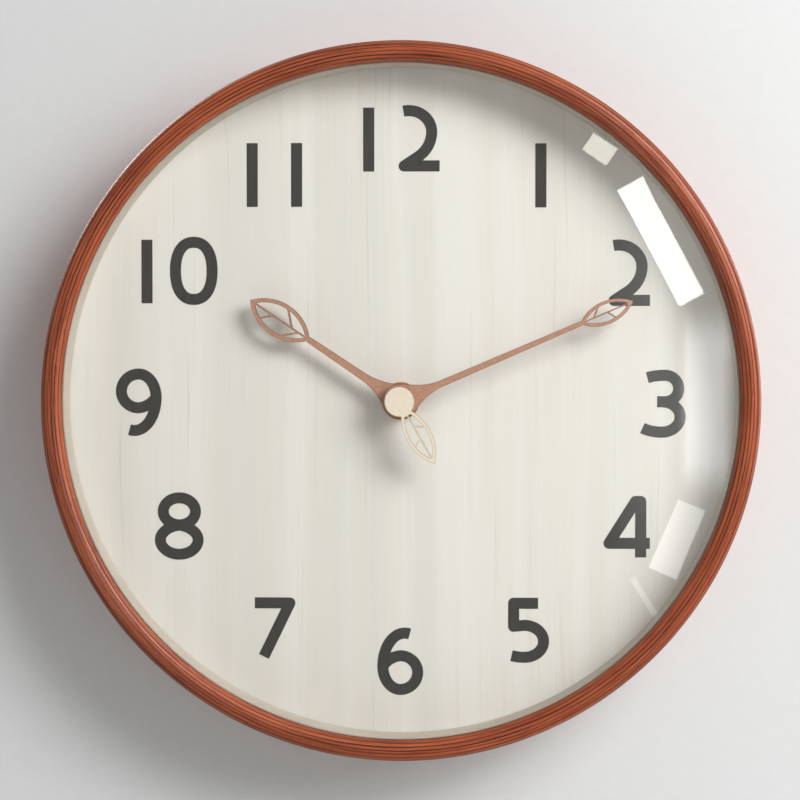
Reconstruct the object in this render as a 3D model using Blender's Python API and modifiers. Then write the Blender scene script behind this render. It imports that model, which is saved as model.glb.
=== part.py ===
"""Round wall clock with a bentwood case, leaf-shaped wooden hands and a quartz movement.

Lengths are in metres. The clock is built face up, as it lies on a bench: x to the right (3 o'clock), y up the
dial (12 o'clock), and z the height above the wall that it hangs on. One empty then stands it upright, so that
it faces -Y with 12 o'clock at +Z, and its box is centred on the origin.
"""

import math

import bmesh
import bpy
from mathutils import Vector

MM = 0.001
GAP = 0.3 * MM  # left between pieces that touch
LAP = 0.4 * MM  # that joined shapes run into each other, and cutters past what they cut
RUNNING_GAP = 0.3 * MM  # radial, between pipes that turn inside one another
PIVOT_GAP = 0.12 * MM  # radial, between a pivot and its bearing hole

# ------------------------------------------------------------------ sizes of the case
RING_DIAMETER = 300 * MM
RING_WALL = 9 * MM  # at the front lip
RING_DEPTH = 45 * MM
RING_SIDES = 48
OUTER_ROUND = 2.6 * MM
INNER_ROUND = 1.6 * MM
REAR_CHAMFER = 0.8 * MM
LIP_DEPTH = 4 * MM  # thickness of the lip that keeps the glass in
REBATE = 2 * MM  # how far the wall is cut back behind the lip

SEAL_THICKNESS = 0.6 * MM
SEAL_WIDTH = 1.4 * MM
GLASS_THICKNESS = 2 * MM
GLASS_RISE = 8 * MM  # of the dome over its rim

DIAL_SHEET = 0.6 * MM
DIAL_BOARD = 3 * MM

# ------------------------------------------------------------------ sizes of the fasteners
CLIP_WIDTH = 12 * MM
CLIP_STEEL = 0.8 * MM
CLIP_FOOT = 10 * MM
CLIP_LEG = 11.5 * MM
CLIP_ANGLES = (45, 135, 225, 315)
SCREW_SHANK_RADIUS = 1.3 * MM
SCREW_HEAD_RADIUS = 2.6 * MM
SCREW_HEAD_HEIGHT = 1.5 * MM
SCREW_LENGTH = 6 * MM
SCREW_SLOT = 0.6 * MM

HANGER_WIDTH = 24 * MM
HANGER_STEEL = 1.2 * MM
HANGER_REACH = 24 * MM  # from the ring's wall inwards
HANGER_LEG = 14 * MM
HANGER_OFF_WALL = 1 * MM
HANGER_HOLE_RADIUS = 4.5 * MM
HANGER_SLOT_RADIUS = 2.2 * MM
HANGER_SLOT_LENGTH = 7 * MM
HANGER_HOLE_FROM_TIP = 8 * MM
HANGER_SCREW_SPACING = 12 * MM

# ------------------------------------------------------------------ sizes of the movement
CASE_ABOVE = 28 * MM  # from the hands' axis to the top of the movement
CASE_WALL = 1.4 * MM
CASE_FRONT_WALL = 1.2 * MM
CASE_CORNER = 4 * MM
ROOM_CORNER = 1.2 * MM
COVER_THICKNESS = 1.2 * MM
DIVIDER = 1 * MM  # wall between the battery bay and the wheels
HOOK_LENGTH = 3.6 * MM
HOOK_WIDTH = 6 * MM
HOOK_STEP = 0.9 * MM
BATTERY_DIAMETER = 14.5 * MM
BATTERY_LENGTH = 50.5 * MM
BATTERY_NUB_RADIUS = 2.7 * MM
BATTERY_NUB_LENGTH = 1.2 * MM
BATTERY_EDGE = 0.6 * MM
CONTACT_STEEL = 0.35 * MM
CONTACT_WIDTH = 8 * MM
CONTACT_SPRING = 1.1 * MM  # room that the sprung contact takes behind the cell
CONTACT_FOOT = 6 * MM  # from the middle of the sprung contact to its feet
CONTACT_CROWN = 1.5 * MM
CHIP_RADIUS = 2.6 * MM
CHIP_HEIGHT = 1.2 * MM
CRYSTAL_RADIUS = 1 * MM
CRYSTAL_LENGTH = 6 * MM
RUBBER_WASHER = 0.8 * MM
WASHER = 0.6 * MM
WASHER_RADIUS = 8 * MM
NUT_FLATS = 12 * MM
NUT_HEIGHT = 2.5 * MM
BUSHING_RADIUS = 4 * MM
BUSHING_PROUD = 0.4 * MM  # of the nut
SECOND_ARBOR_RADIUS = 0.5 * MM
MINUTE_PIPE_WALL = 0.8 * MM
HOUR_PIPE_WALL = 0.6 * MM
POST_RADIUS = 1.25 * MM
MOTION_POST_RADIUS = 0.6 * MM
PIVOT_RADIUS = 0.4 * MM
PIVOT_DEPTH = 0.5 * MM  # of a bearing hole in the case's front wall
KNOB_RADIUS = 5 * MM
KNOB_THICKNESS = 1.4 * MM
KNOB_OFF_WALL = 0.9 * MM
KNOB_SHAFT_RADIUS = 1.3 * MM
KNOB_FLUTES = 16

# ------------------------------------------------------------------ sizes of the hands
HAND_THICKNESS = 2 * MM
HUB_RADIUS = 7.35 * MM
DISC_RADIUS = 6.25 * MM
BUSH_FLANGE = 0.8 * MM
BUSH_WALL = 0.8 * MM
BUSH_FLANGE_RADIUS = 4.5 * MM
HOUR_ANGLE = 304.0  # degrees clockwise from 12 o'clock
MINUTE_ANGLE = 66.7
SECOND_ANGLE = 150.3

# ------------------------------------------------------------------ places that follow from the sizes
RING_RADIUS = RING_DIAMETER / 2
LIP_RADIUS = RING_RADIUS - RING_WALL
REBATE_RADIUS = LIP_RADIUS + REBATE
INSIDE_RADIUS = REBATE_RADIUS - GAP  # of everything that sits in the rebate
LIP_BACK = RING_DEPTH - LIP_DEPTH
SEAL_TOP = LIP_BACK - GAP
GLASS_RIM_TOP = SEAL_TOP - SEAL_THICKNESS - GAP
GLASS_RIM_BACK = GLASS_RIM_TOP - GLASS_THICKNESS
GLASS_TOP = GLASS_RIM_TOP + GLASS_RISE
CLOCK_DEPTH = max(GLASS_TOP, RING_DEPTH)

CASE_DEPTH = CASE_FRONT_WALL + GAP + BATTERY_DIAMETER
REAR = KNOB_OFF_WALL + KNOB_THICKNESS + GAP
MOVEMENT_FRONT = REAR + CASE_DEPTH
BOARD_BACK = MOVEMENT_FRONT + RUBBER_WASHER + 2 * GAP
BOARD_TOP = BOARD_BACK + DIAL_BOARD
DIAL_TOP = BOARD_TOP + GAP + DIAL_SHEET
WASHER_TOP = DIAL_TOP + GAP + WASHER
NUT_TOP = WASHER_TOP + GAP + NUT_HEIGHT
BUSHING_TOP = NUT_TOP + BUSHING_PROUD

MINUTE_PIPE_INNER = SECOND_ARBOR_RADIUS + RUNNING_GAP
MINUTE_PIPE_OUTER = MINUTE_PIPE_INNER + MINUTE_PIPE_WALL
HOUR_PIPE_INNER = MINUTE_PIPE_OUTER + RUNNING_GAP
HOUR_PIPE_OUTER = HOUR_PIPE_INNER + HOUR_PIPE_WALL
BUSHING_BORE = HOUR_PIPE_OUTER + RUNNING_GAP

HOUR_HAND_BACK = BUSHING_TOP + 2 * GAP + BUSH_FLANGE + GAP
HOUR_HAND_TOP = HOUR_HAND_BACK + HAND_THICKNESS
MINUTE_HAND_BACK = HOUR_HAND_TOP + GAP + BUSH_FLANGE + GAP
MINUTE_HAND_TOP = MINUTE_HAND_BACK + HAND_THICKNESS
SECOND_HAND_BACK = MINUTE_HAND_TOP + GAP + BUSH_FLANGE + GAP
SECOND_HAND_TOP = SECOND_HAND_BACK + HAND_THICKNESS


def level(depth):
    """The height above the wall of a plane this far behind the movement's front."""
    return MOVEMENT_FRONT - depth * MM


# ------------------------------------------------------------------ scene and tools
def clear_scene():
    for obj in list(bpy.data.objects):
        bpy.data.objects.remove(obj, do_unlink=True)


def new_collection(name):
    made = bpy.data.collections.new(name)
    bpy.context.scene.collection.children.link(made)
    return made


clear_scene()
PARTS = new_collection("wall_clock")
CUTTERS = new_collection("cutters")
CUTTERS.hide_render = True
STAND = bpy.data.objects.new("clock_stand", None)
STAND.location = (0, CLOCK_DEPTH / 2, 0)
STAND.rotation_euler = (math.pi / 2, 0, 0)
PARTS.objects.link(STAND)


def material(name, colour, roughness, metallic=0.0, alpha=1.0):
    made = bpy.data.materials.new(name)
    made.use_nodes = True
    shader = made.node_tree.nodes["Principled BSDF"]
    shader.inputs["Base Color"].default_value = (*colour, 1.0)
    shader.inputs["Roughness"].default_value = roughness
    shader.inputs["Metallic"].default_value = metallic
    shader.inputs["Alpha"].default_value = alpha
    return made


def place(obj, paint, at=(0, 0, 0), turn=(0, 0, 0)):
    """Puts an object on the clock's stand, in its own material."""
    if obj.name not in PARTS.objects:
        PARTS.objects.link(obj)
    obj.parent = STAND
    obj.location = at
    obj.rotation_euler = turn
    if paint is not None:
        obj.data.materials.clear()
        obj.data.materials.append(paint)
    return obj


def shade(mesh):
    mesh.shade_smooth()
    mesh.set_sharp_from_angle(angle=math.radians(35))


def turned(name, section, paint, at=(0, 0, 0), turn=(0, 0, 0), sides=24, ring=False):
    """A turned piece from points (radius, height), top to bottom down its outer side. A ring's section closes."""
    mesh = bpy.data.meshes.new(name)
    rows = [(radius, 0.0, height) for radius, height in section]
    edges = [(n, n + 1) for n in range(len(rows) - 1)]
    if ring:
        edges.append((len(rows) - 1, 0))
    mesh.from_pydata(rows, edges, [])
    obj = place(bpy.data.objects.new(name, mesh), paint, at, turn)
    screw = obj.modifiers.new("turn", "SCREW")
    screw.steps = sides
    screw.render_steps = sides
    screw.use_merge_vertices = True
    screw.merge_threshold = 0.00001
    return obj


def disc(name, radius, low, high, paint, at=(0, 0), sides=16):
    """An upright cylinder between two heights."""
    section = [(0, high), (radius, high), (radius, low), (0, low)]
    return turned(name, section, paint, (*at, 0), sides=sides)


def tube(name, inner, outer, low, high, paint, at=(0, 0), sides=24):
    section = [(outer, high), (outer, low), (inner, low), (inner, high)]
    return turned(name, section, paint, (*at, 0), sides=sides, ring=True)


def block(name, size, centre, paint, turn=(0, 0, 0)):
    mesh = bpy.data.meshes.new(name)
    form = bmesh.new()
    bmesh.ops.create_cube(form, size=1.0)
    bmesh.ops.scale(form, vec=Vector(size), verts=form.verts)
    form.to_mesh(mesh)
    form.free()
    return place(bpy.data.objects.new(name, mesh), paint, centre, turn)


def box_between(name, low, high, paint):
    size = [b - a for a, b in zip(low, high)]
    centre = [(a + b) / 2 for a, b in zip(low, high)]
    return block(name, size, centre, paint)


def flat(name, loops, thickness, paint, at=(0, 0, 0), turn=(0, 0, 0)):
    """A flat outline with holes, given thickness about its own plane, as a welded mesh."""
    curve = bpy.data.curves.new(name, "CURVE")
    curve.dimensions = "2D"
    curve.fill_mode = "BOTH"
    curve.extrude = thickness / 2
    for loop in loops:
        spline = curve.splines.new("POLY")
        spline.points.add(len(loop) - 1)
        for point, (x, y) in zip(spline.points, loop):
            point.co = (x, y, 0, 1)
        spline.use_cyclic_u = True
    drawn = bpy.data.objects.new(name + "_outline", curve)
    PARTS.objects.link(drawn)
    graph = bpy.context.evaluated_depsgraph_get()
    mesh = bpy.data.meshes.new_from_object(drawn.evaluated_get(graph))
    bpy.data.objects.remove(drawn, do_unlink=True)
    form = bmesh.new()
    form.from_mesh(mesh)
    bmesh.ops.remove_doubles(form, verts=form.verts, dist=0.000002)
    bmesh.ops.recalc_face_normals(form, faces=form.faces)
    form.to_mesh(mesh)
    form.free()
    mesh.name = name
    return place(bpy.data.objects.new(name, mesh), paint, at, turn)


def plate(name, loops, low, high, paint, at=(0, 0)):
    """A flat outline between two heights."""
    return flat(name, loops, high - low, paint, (*at, (low + high) / 2))


def combine(base, operation, others):
    for other in others:
        change = base.modifiers.new(other.name, "BOOLEAN")
        change.operation = operation
        change.object = other
        other.hide_render = True
        other.display_type = "WIRE"
        PARTS.objects.unlink(other)
        CUTTERS.objects.link(other)
    return base


def cut(base, *cutters):
    return combine(base, "DIFFERENCE", cutters)


def join(base, *additions):
    return combine(base, "UNION", additions)


# ------------------------------------------------------------------ outlines
def polar(radius, degrees, centre=(0, 0)):
    angle = math.radians(degrees)
    return centre[0] + radius * math.cos(angle), centre[1] + radius * math.sin(angle)


def arc(radius, start, end, steps, centre=(0, 0)):
    """Points from the start angle to the end angle, both in degrees, ends included."""
    return [polar(radius, start + (end - start) * n / steps, centre) for n in range(steps + 1)]


def circle(radius, sides=24, centre=(0, 0)):
    return [polar(radius, 360 * n / sides, centre) for n in range(sides)]


def rounded_box(low, high, corner, steps=4):
    left, bottom = low[0] + corner, low[1] + corner
    right, top = high[0] - corner, high[1] - corner
    points = []
    for n, centre in enumerate(((right, top), (left, top), (left, bottom), (right, bottom))):
        points += arc(corner, 90 * n, 90 * n + 90, steps, centre)
    return points


def crossing(centre_a, radius_a, centre_b, radius_b):
    """Where two circles cross, on the left of the line from the first centre to the second."""
    across, up = centre_b[0] - centre_a[0], centre_b[1] - centre_a[1]
    apart = math.hypot(across, up)
    along = (apart**2 + radius_a**2 - radius_b**2) / (2 * apart)
    aside = math.sqrt(radius_a**2 - along**2)
    x = centre_a[0] + (along * across - aside * up) / apart
    y = centre_a[1] + (along * up + aside * across) / apart
    return x, y


def keep_side(points, through, normal):
    """The part of a convex outline on the side of a line that its normal points to."""
    kept = []
    for here, there in zip(points, points[1:] + points[:1]):
        a = sum((p - q) * n for p, q, n in zip(here, through, normal))
        b = sum((p - q) * n for p, q, n in zip(there, through, normal))
        if a >= 0:
            kept.append(here)
        if a * b < 0:
            kept.append(tuple(p + (q - p) * a / (a - b) for p, q in zip(here, there)))
    return kept


# ------------------------------------------------------------------ materials
WALNUT_RING = material("walnut_ring", (0.33, 0.13, 0.07), 0.38)
GLASS = material("clear_glass", (0.95, 0.97, 0.97), 0.03, alpha=0.25)
FOAM = material("black_foam", (0.04, 0.04, 0.04), 0.9)
CREAM = material("cream_card", (0.78, 0.72, 0.64), 0.7)
WASHED_WOOD = material("whitewashed_veneer", (0.74, 0.70, 0.63), 0.65)
FIBREBOARD = material("brown_fibreboard", (0.36, 0.23, 0.13), 0.8)
STEEL = material("zinc_steel", (0.60, 0.60, 0.58), 0.35, metallic=1.0)
BRASS = material("brass", (0.76, 0.56, 0.24), 0.3, metallic=1.0)
BLACK_PLASTIC = material("black_plastic", (0.03, 0.03, 0.03), 0.5)
WHITE_NYLON = material("white_nylon", (0.82, 0.82, 0.78), 0.45)
RUBBER = material("black_rubber", (0.03, 0.03, 0.03), 0.8)
CELL = material("battery_sleeve", (0.16, 0.25, 0.22), 0.4)
CIRCUIT = material("green_circuit_board", (0.03, 0.22, 0.09), 0.5)
EPOXY = material("black_epoxy", (0.02, 0.02, 0.02), 0.35)
COPPER = material("copper_wire", (0.72, 0.34, 0.16), 0.35, metallic=1.0)
MAGNET = material("dark_magnet", (0.12, 0.12, 0.13), 0.4, metallic=1.0)
WALNUT_HAND = material("walnut_hand", (0.42, 0.20, 0.12), 0.55)
BIRCH_HAND = material("birch_hand", (0.82, 0.70, 0.48), 0.6)


# ------------------------------------------------------------------ case
def frame_ring():
    outer = arc(OUTER_ROUND, 90, 0, 3, (RING_RADIUS - OUTER_ROUND, RING_DEPTH - OUTER_ROUND))
    inner = arc(INNER_ROUND, 180, 90, 3, (LIP_RADIUS + INNER_ROUND, RING_DEPTH - INNER_ROUND))
    section = outer + [
        (RING_RADIUS, REAR_CHAMFER),
        (RING_RADIUS - REAR_CHAMFER, 0),
        (REBATE_RADIUS, 0),
        (REBATE_RADIUS, LIP_BACK),
        (LIP_RADIUS, LIP_BACK),
    ] + inner
    ring = turned("frame_ring", section, WALNUT_RING, sides=RING_SIDES, ring=True)
    for angle in CLIP_ANGLES:
        cut(ring, screw_hole(f"clip_pilot_{angle}", angle, 0, CLIP_SCREW_HEIGHT))
    for number, side in enumerate(HANGER_SIDES):
        cut(ring, screw_hole(f"hanger_pilot_{number}", 90, side, HANGER_SCREW_HEIGHT))


def dome(rim_height, rim_radius, rise, rings=5):
    """Points of a shallow dome from its centre out to its rim."""
    ball = (rim_radius**2 + rise**2) / (2 * rise)
    points = []
    for n in range(rings + 1):
        radius = rim_radius * n / rings
        points.append((radius, rim_height + rise - ball + math.sqrt(ball**2 - radius**2)))
    return points


def lens_glass():
    front = dome(GLASS_RIM_TOP, LIP_RADIUS, GLASS_RISE)
    back = dome(GLASS_RIM_BACK, LIP_RADIUS, GLASS_RISE)
    rim = [(INSIDE_RADIUS, GLASS_RIM_TOP), (INSIDE_RADIUS, GLASS_RIM_BACK)]
    return turned("lens_glass", front + rim + back[::-1], GLASS, sides=RING_SIDES)


def case_rings():
    seal_inner = INSIDE_RADIUS - SEAL_WIDTH
    tube("lens_seal", seal_inner, INSIDE_RADIUS, SEAL_TOP - SEAL_THICKNESS, SEAL_TOP, FOAM, sides=RING_SIDES)
    low, high = DIAL_TOP + GAP, GLASS_RIM_BACK - GAP
    tube("spacer_ring", LIP_RADIUS, INSIDE_RADIUS, low, high, CREAM, sides=RING_SIDES)
    hole = BUSHING_RADIUS + GAP
    tube("dial_face", hole, INSIDE_RADIUS, DIAL_TOP - DIAL_SHEET, DIAL_TOP, WASHED_WOOD, sides=RING_SIDES)
    tube("dial_board", hole, INSIDE_RADIUS, BOARD_BACK, BOARD_TOP, FIBREBOARD, sides=RING_SIDES)


# ------------------------------------------------------------------ clips, hanger and their screws
def seat_radius(width):
    """How far out a flat strip of this width can stand inside the ring's faceted wall."""
    wall = REBATE_RADIUS * math.cos(math.pi / RING_SIDES) - GAP
    return math.sqrt(wall**2 - (width / 2) ** 2)


CLIP_SEAT = seat_radius(CLIP_WIDTH)
CLIP_TOP = BOARD_BACK - GAP
CLIP_SCREW_HEIGHT = CLIP_TOP - CLIP_STEEL - (CLIP_LEG - CLIP_STEEL) / 2
HANGER_SEAT = seat_radius(HANGER_WIDTH)
HANGER_SCREW_HEIGHT = HANGER_OFF_WALL + HANGER_STEEL + (HANGER_LEG - HANGER_STEEL) / 2
HANGER_SIDES = (-HANGER_SCREW_SPACING / 2, HANGER_SCREW_SPACING / 2)
HANGER_HOLE = HANGER_SEAT - HANGER_REACH + HANGER_HOLE_FROM_TIP


def radial_place(angle, sideways, out, height):
    """A point this far out along an angle, moved sideways to the left of it."""
    x, y = polar(out, angle)
    dx, dy = polar(sideways, angle + 90)
    return x + dx, y + dy, height


def screw_hole(name, angle, sideways, height):
    """A radial hole for a screw, through a strip and into the ring's wall."""
    radius = SCREW_SHANK_RADIUS + GAP
    far, near = SCREW_LENGTH + GAP, -CLIP_STEEL - HANGER_STEEL - GAP
    section = [(0, far), (radius, far), (radius, near), (0, near)]
    at = radial_place(angle, sideways, REBATE_RADIUS - GAP, height)
    return turned(name, section, None, at, (0, math.pi / 2, math.radians(angle)), sides=12)


def wood_screw(name, angle, sideways, under_head, height):
    """A pan-head screw driven outwards: its head bears on a strip, and its point stays inside the wood."""
    r, head = SCREW_SHANK_RADIUS, SCREW_HEAD_RADIUS
    length = SCREW_LENGTH + REBATE_RADIUS - GAP - under_head
    section = [
        (0, length),
        (r * 0.5, length - r),
        (r, length - 2 * r),
        (r, 0),
        (head, 0),
        (head, -SCREW_HEAD_HEIGHT * 0.55),
        (head * 0.7, -SCREW_HEAD_HEIGHT),
        (0, -SCREW_HEAD_HEIGHT),
    ]
    at = radial_place(angle, sideways, under_head, height)
    turn = (0, math.pi / 2, math.radians(angle))
    screw = turned(name, section, STEEL, at, turn, sides=12)
    slot_at = radial_place(angle, sideways, under_head - SCREW_HEAD_HEIGHT, height)
    slot = block(name + "_slot", (SCREW_SLOT, 3 * head, SCREW_SLOT * 2), slot_at, None, turn)
    return cut(screw, slot)


def bent_strip(name, outline, width, angle):
    """A strip bent to an outline of (distance from the centre, height), standing at an angle round the ring."""
    return flat(name, [outline], width, STEEL, (0, 0, 0), (math.pi / 2, 0, math.radians(angle)))


def retainer_clip(number, angle):
    out, steel, top = CLIP_SEAT, CLIP_STEEL, CLIP_TOP
    tip = out - CLIP_FOOT
    outline = [
        (out, top),
        (tip, top),
        (tip - 1.5 * steel, top - 1.5 * steel),
        (tip - 0.8 * steel, top - 2.2 * steel),
        (tip + 0.4 * steel, top - steel),
        (out - steel, top - steel),
        (out - steel, top - CLIP_LEG),
        (out, top - CLIP_LEG),
    ]
    clip = bent_strip(f"retainer_clip_{number}", outline, CLIP_WIDTH, angle)
    cut(clip, screw_hole(f"clip_hole_{number}", angle, 0, CLIP_SCREW_HEIGHT))
    wood_screw(f"clip_screw_{number}", angle, 0, out - steel - GAP, CLIP_SCREW_HEIGHT)


def hanger():
    out, steel, low = HANGER_SEAT, HANGER_STEEL, HANGER_OFF_WALL
    tip = out - HANGER_REACH
    outline = [
        (out, low + HANGER_LEG),
        (out - steel, low + HANGER_LEG),
        (out - steel, low + steel),
        (tip, low + steel),
        (tip, low),
        (out - 0.4 * steel, low),
        (out, low + 0.4 * steel),
    ]
    bracket = bent_strip("hanger_bracket", outline, HANGER_WIDTH, 90)
    round_part = arc(HANGER_HOLE_RADIUS, 150, 390, 10, (0, HANGER_HOLE))
    slot_end = arc(HANGER_SLOT_RADIUS, 0, 180, 6, (0, HANGER_HOLE + HANGER_SLOT_LENGTH))
    keyhole = plate("keyhole", [round_part + slot_end], -steel, low + 3 * steel, None)
    cut(bracket, keyhole)
    for number, side in enumerate(HANGER_SIDES, 1):
        cut(bracket, screw_hole(f"bracket_hole_{number}", 90, side, HANGER_SCREW_HEIGHT))
        wood_screw(f"hanger_screw_{number}", 90, side, out - steel - GAP, HANGER_SCREW_HEIGHT)


# ------------------------------------------------------------------ the train: teeth, modules and arbors
ADDENDUM = 0.9
DEDENDUM = 1.25
TOOTH_ROOT_SHARE = 0.27  # half-thickness of a tooth at its root and tip, in shares of the tooth spacing
TOOTH_TIP_SHARE = 0.09
SECOND_TEETH, SECOND_PINION = 60, 8
THIRD_TEETH, THIRD_PINION = 64, 8
CENTRE_TEETH, CANNON_PINION = 60, 10
MOTION_TEETH, MOTION_PINION = 30, 8
HOUR_TEETH = 32
KNOB_TEETH = 12
INTERMEDIATE_TEETH, INTERMEDIATE_PINION = 40, 10
ROTOR_PINION = 8
THIRD_DISTANCE = 10.8 * MM
MOTION_DISTANCE = 9 * MM
ROTOR_MODULE = 0.30 * MM
ARBOR_CLEARANCE = 0.6 * MM  # from a wheel's teeth to an arbor, post or board that passes them


def module_for(distance, teeth_a, teeth_b):
    return 2 * distance / (teeth_a + teeth_b)


def tip_radius(count, module):
    return module * (count / 2 + ADDENDUM)


THIRD_WHEEL_MODULE = module_for(THIRD_DISTANCE, SECOND_PINION, THIRD_TEETH)
CENTRE_MODULE = module_for(THIRD_DISTANCE, THIRD_PINION, CENTRE_TEETH)
CENTRE_TIP = tip_radius(CENTRE_TEETH, CENTRE_MODULE)
THIRD_TIP = tip_radius(THIRD_TEETH, THIRD_WHEEL_MODULE)
INTERMEDIATE_DISTANCE = CENTRE_TIP + ARBOR_CLEARANCE + PIVOT_RADIUS
SECOND_MODULE = module_for(INTERMEDIATE_DISTANCE, SECOND_TEETH, INTERMEDIATE_PINION)
CANNON_MODULE = module_for(MOTION_DISTANCE, CANNON_PINION, MOTION_TEETH)
HOUR_MODULE = module_for(MOTION_DISTANCE, MOTION_PINION, HOUR_TEETH)

CENTRE = (0.0, 0.0)
THIRD_ARBOR = polar(THIRD_DISTANCE, 20.1)
MOTION_ARBOR = polar(MOTION_DISTANCE, 80)
KNOB_DISTANCE = CANNON_MODULE * (MOTION_TEETH + KNOB_TEETH) / 2
KNOB_TO_THIRD = THIRD_TIP + ARBOR_CLEARANCE + KNOB_SHAFT_RADIUS
KNOB_ARBOR = crossing(MOTION_ARBOR, KNOB_DISTANCE, THIRD_ARBOR, KNOB_TO_THIRD)
INTERMEDIATE_ARBOR = polar(INTERMEDIATE_DISTANCE, 150)
ROTOR_ARBOR = polar(ROTOR_MODULE * (INTERMEDIATE_TEETH + ROTOR_PINION) / 2, 150, INTERMEDIATE_ARBOR)


def meshing(centre_a, teeth_a, phase_a, centre_b, teeth_b):
    """The angle of one tooth of wheel B with which it meshes with wheel A, in radians."""
    towards = math.atan2(centre_b[1] - centre_a[1], centre_b[0] - centre_a[0])
    share = ((towards - phase_a) * teeth_a / (2 * math.pi)) % 1
    return towards + math.pi - (0.5 - share) * 2 * math.pi / teeth_b


def teeth(count, module, phase=0.0):
    """The outline of a toothed wheel with one tooth at the phase angle."""
    root, tip = module * (count / 2 - DEDENDUM), tip_radius(count, module)
    spacing = 2 * math.pi / count
    wide, narrow = TOOTH_ROOT_SHARE, TOOTH_TIP_SHARE
    flank = ((root, -wide), (tip, -narrow), (tip, narrow), (root, wide))
    points = []
    for number in range(count):
        for radius, share in flank:
            angle = phase + (number + share) * spacing
            points.append((radius * math.cos(angle), radius * math.sin(angle)))
    return points


def wheel(name, outline, levels, paint, at, holes=()):
    """A flat wheel between two levels behind the movement's front."""
    front, back = levels
    return plate(name, [outline, *holes], level(back), level(front), paint, at)


def arbor(name, at):
    """A thin spindle from the case's front wall to the bridge."""
    front, back = ARBOR_LEVELS
    return disc(name, PIVOT_RADIUS, level(back), level(front), WHITE_NYLON, at, 12)


# Pairs (front, back) in millimetres behind the movement's front.
HOUR_LEVELS = (1.6, 2.8)
MOTION_PINION_LEVELS = (1.5, 3.4)
MOTION_LEVELS = (3.2, 4.4)
CANNON_LEVELS = (3.1, 4.7)
CENTRE_LEVELS = (5.0, 6.0)
THIRD_PINION_LEVELS = (4.8, 6.8)
THIRD_LEVELS = (6.6, 7.6)
SECOND_PINION_LEVELS = (6.4, 8.2)
SECOND_LEVELS = (8.0, 9.0)
INTERMEDIATE_PINION_LEVELS = (7.8, 9.6)
INTERMEDIATE_LEVELS = (9.4, 10.4)
ROTOR_PINION_LEVELS = (9.2, 10.6)
MAGNET_LEVELS = (6.0, 8.4)
STATOR_LEVELS = (6.6, 7.8)
CORE_LEVELS = (8.1, 9.3)
BOARD_LEVELS = (9.2, 10.2)
ARBOR_LEVELS = (0.85, 12.6)
BRIDGE_LEVELS = (12.0, 12.8)
MINUTE_PIPE_BACK = 6.2
MOTION_POST_BACK = 4.6


def second_wheel():
    bore = circle(SECOND_ARBOR_RADIUS + PIVOT_GAP, 12)
    teeth_of_wheel = teeth(SECOND_TEETH, SECOND_MODULE)
    teeth_of_pinion = teeth(SECOND_PINION, THIRD_WHEEL_MODULE)
    body = wheel("second_wheel", teeth_of_wheel, SECOND_LEVELS, WHITE_NYLON, CENTRE, [bore])
    join(body, wheel("second_pinion", teeth_of_pinion, SECOND_PINION_LEVELS, WHITE_NYLON, CENTRE, [bore]))
    low, high = level(ARBOR_LEVELS[1]), SECOND_HAND_BACK + HAND_THICKNESS * 0.4
    disc("second_arbor", SECOND_ARBOR_RADIUS, low, high, STEEL, sides=12)


def third_wheel():
    at = THIRD_ARBOR
    phase = meshing(CENTRE, SECOND_PINION, 0, at, THIRD_TEETH)
    body = wheel("third_wheel", teeth(THIRD_TEETH, THIRD_WHEEL_MODULE, phase), THIRD_LEVELS, WHITE_NYLON, at)
    pinion = wheel("third_pinion", teeth(THIRD_PINION, CENTRE_MODULE), THIRD_PINION_LEVELS, WHITE_NYLON, at)
    join(body, pinion, arbor("third_arbor", at))


def minute_train():
    phase = meshing(THIRD_ARBOR, THIRD_PINION, 0, CENTRE, CENTRE_TEETH)
    seat = circle(MINUTE_PIPE_OUTER + PIVOT_GAP, 20)
    outline = teeth(CENTRE_TEETH, CENTRE_MODULE, phase)
    wheel("centre_wheel", outline, CENTRE_LEVELS, WHITE_NYLON, CENTRE, [seat])
    low, high = level(MINUTE_PIPE_BACK), MINUTE_HAND_TOP - GAP
    pipe = tube("minute_pipe", MINUTE_PIPE_INNER, MINUTE_PIPE_OUTER, low, high, BRASS, sides=20)
    outline, bore = teeth(CANNON_PINION, CANNON_MODULE), circle(MINUTE_PIPE_INNER, 20)
    join(pipe, wheel("cannon_pinion", outline, CANNON_LEVELS, BRASS, CENTRE, [bore]))


def motion_work():
    """The wheel that brings the minute pipe's turning down to the hour wheel's. Returns its phase."""
    at = MOTION_ARBOR
    phase = meshing(CENTRE, CANNON_PINION, 0, at, MOTION_TEETH)
    bore = circle(MOTION_POST_RADIUS + PIVOT_GAP, 12)
    outline = teeth(MOTION_TEETH, CANNON_MODULE, phase)
    body = wheel("motion_wheel", outline, MOTION_LEVELS, WHITE_NYLON, at, [bore])
    outline = teeth(MOTION_PINION, HOUR_MODULE)
    join(body, wheel("motion_pinion", outline, MOTION_PINION_LEVELS, WHITE_NYLON, at, [bore]))
    outline = teeth(HOUR_TEETH, HOUR_MODULE, meshing(at, MOTION_PINION, 0, CENTRE, HOUR_TEETH))
    body = wheel("hour_wheel", outline, HOUR_LEVELS, WHITE_NYLON, CENTRE, [circle(HOUR_PIPE_INNER, 20)])
    low, high = level(HOUR_LEVELS[1]), HOUR_HAND_TOP - GAP
    join(body, tube("hour_pipe", HOUR_PIPE_INNER, HOUR_PIPE_OUTER, low, high, WHITE_NYLON, sides=20))
    return phase


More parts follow.
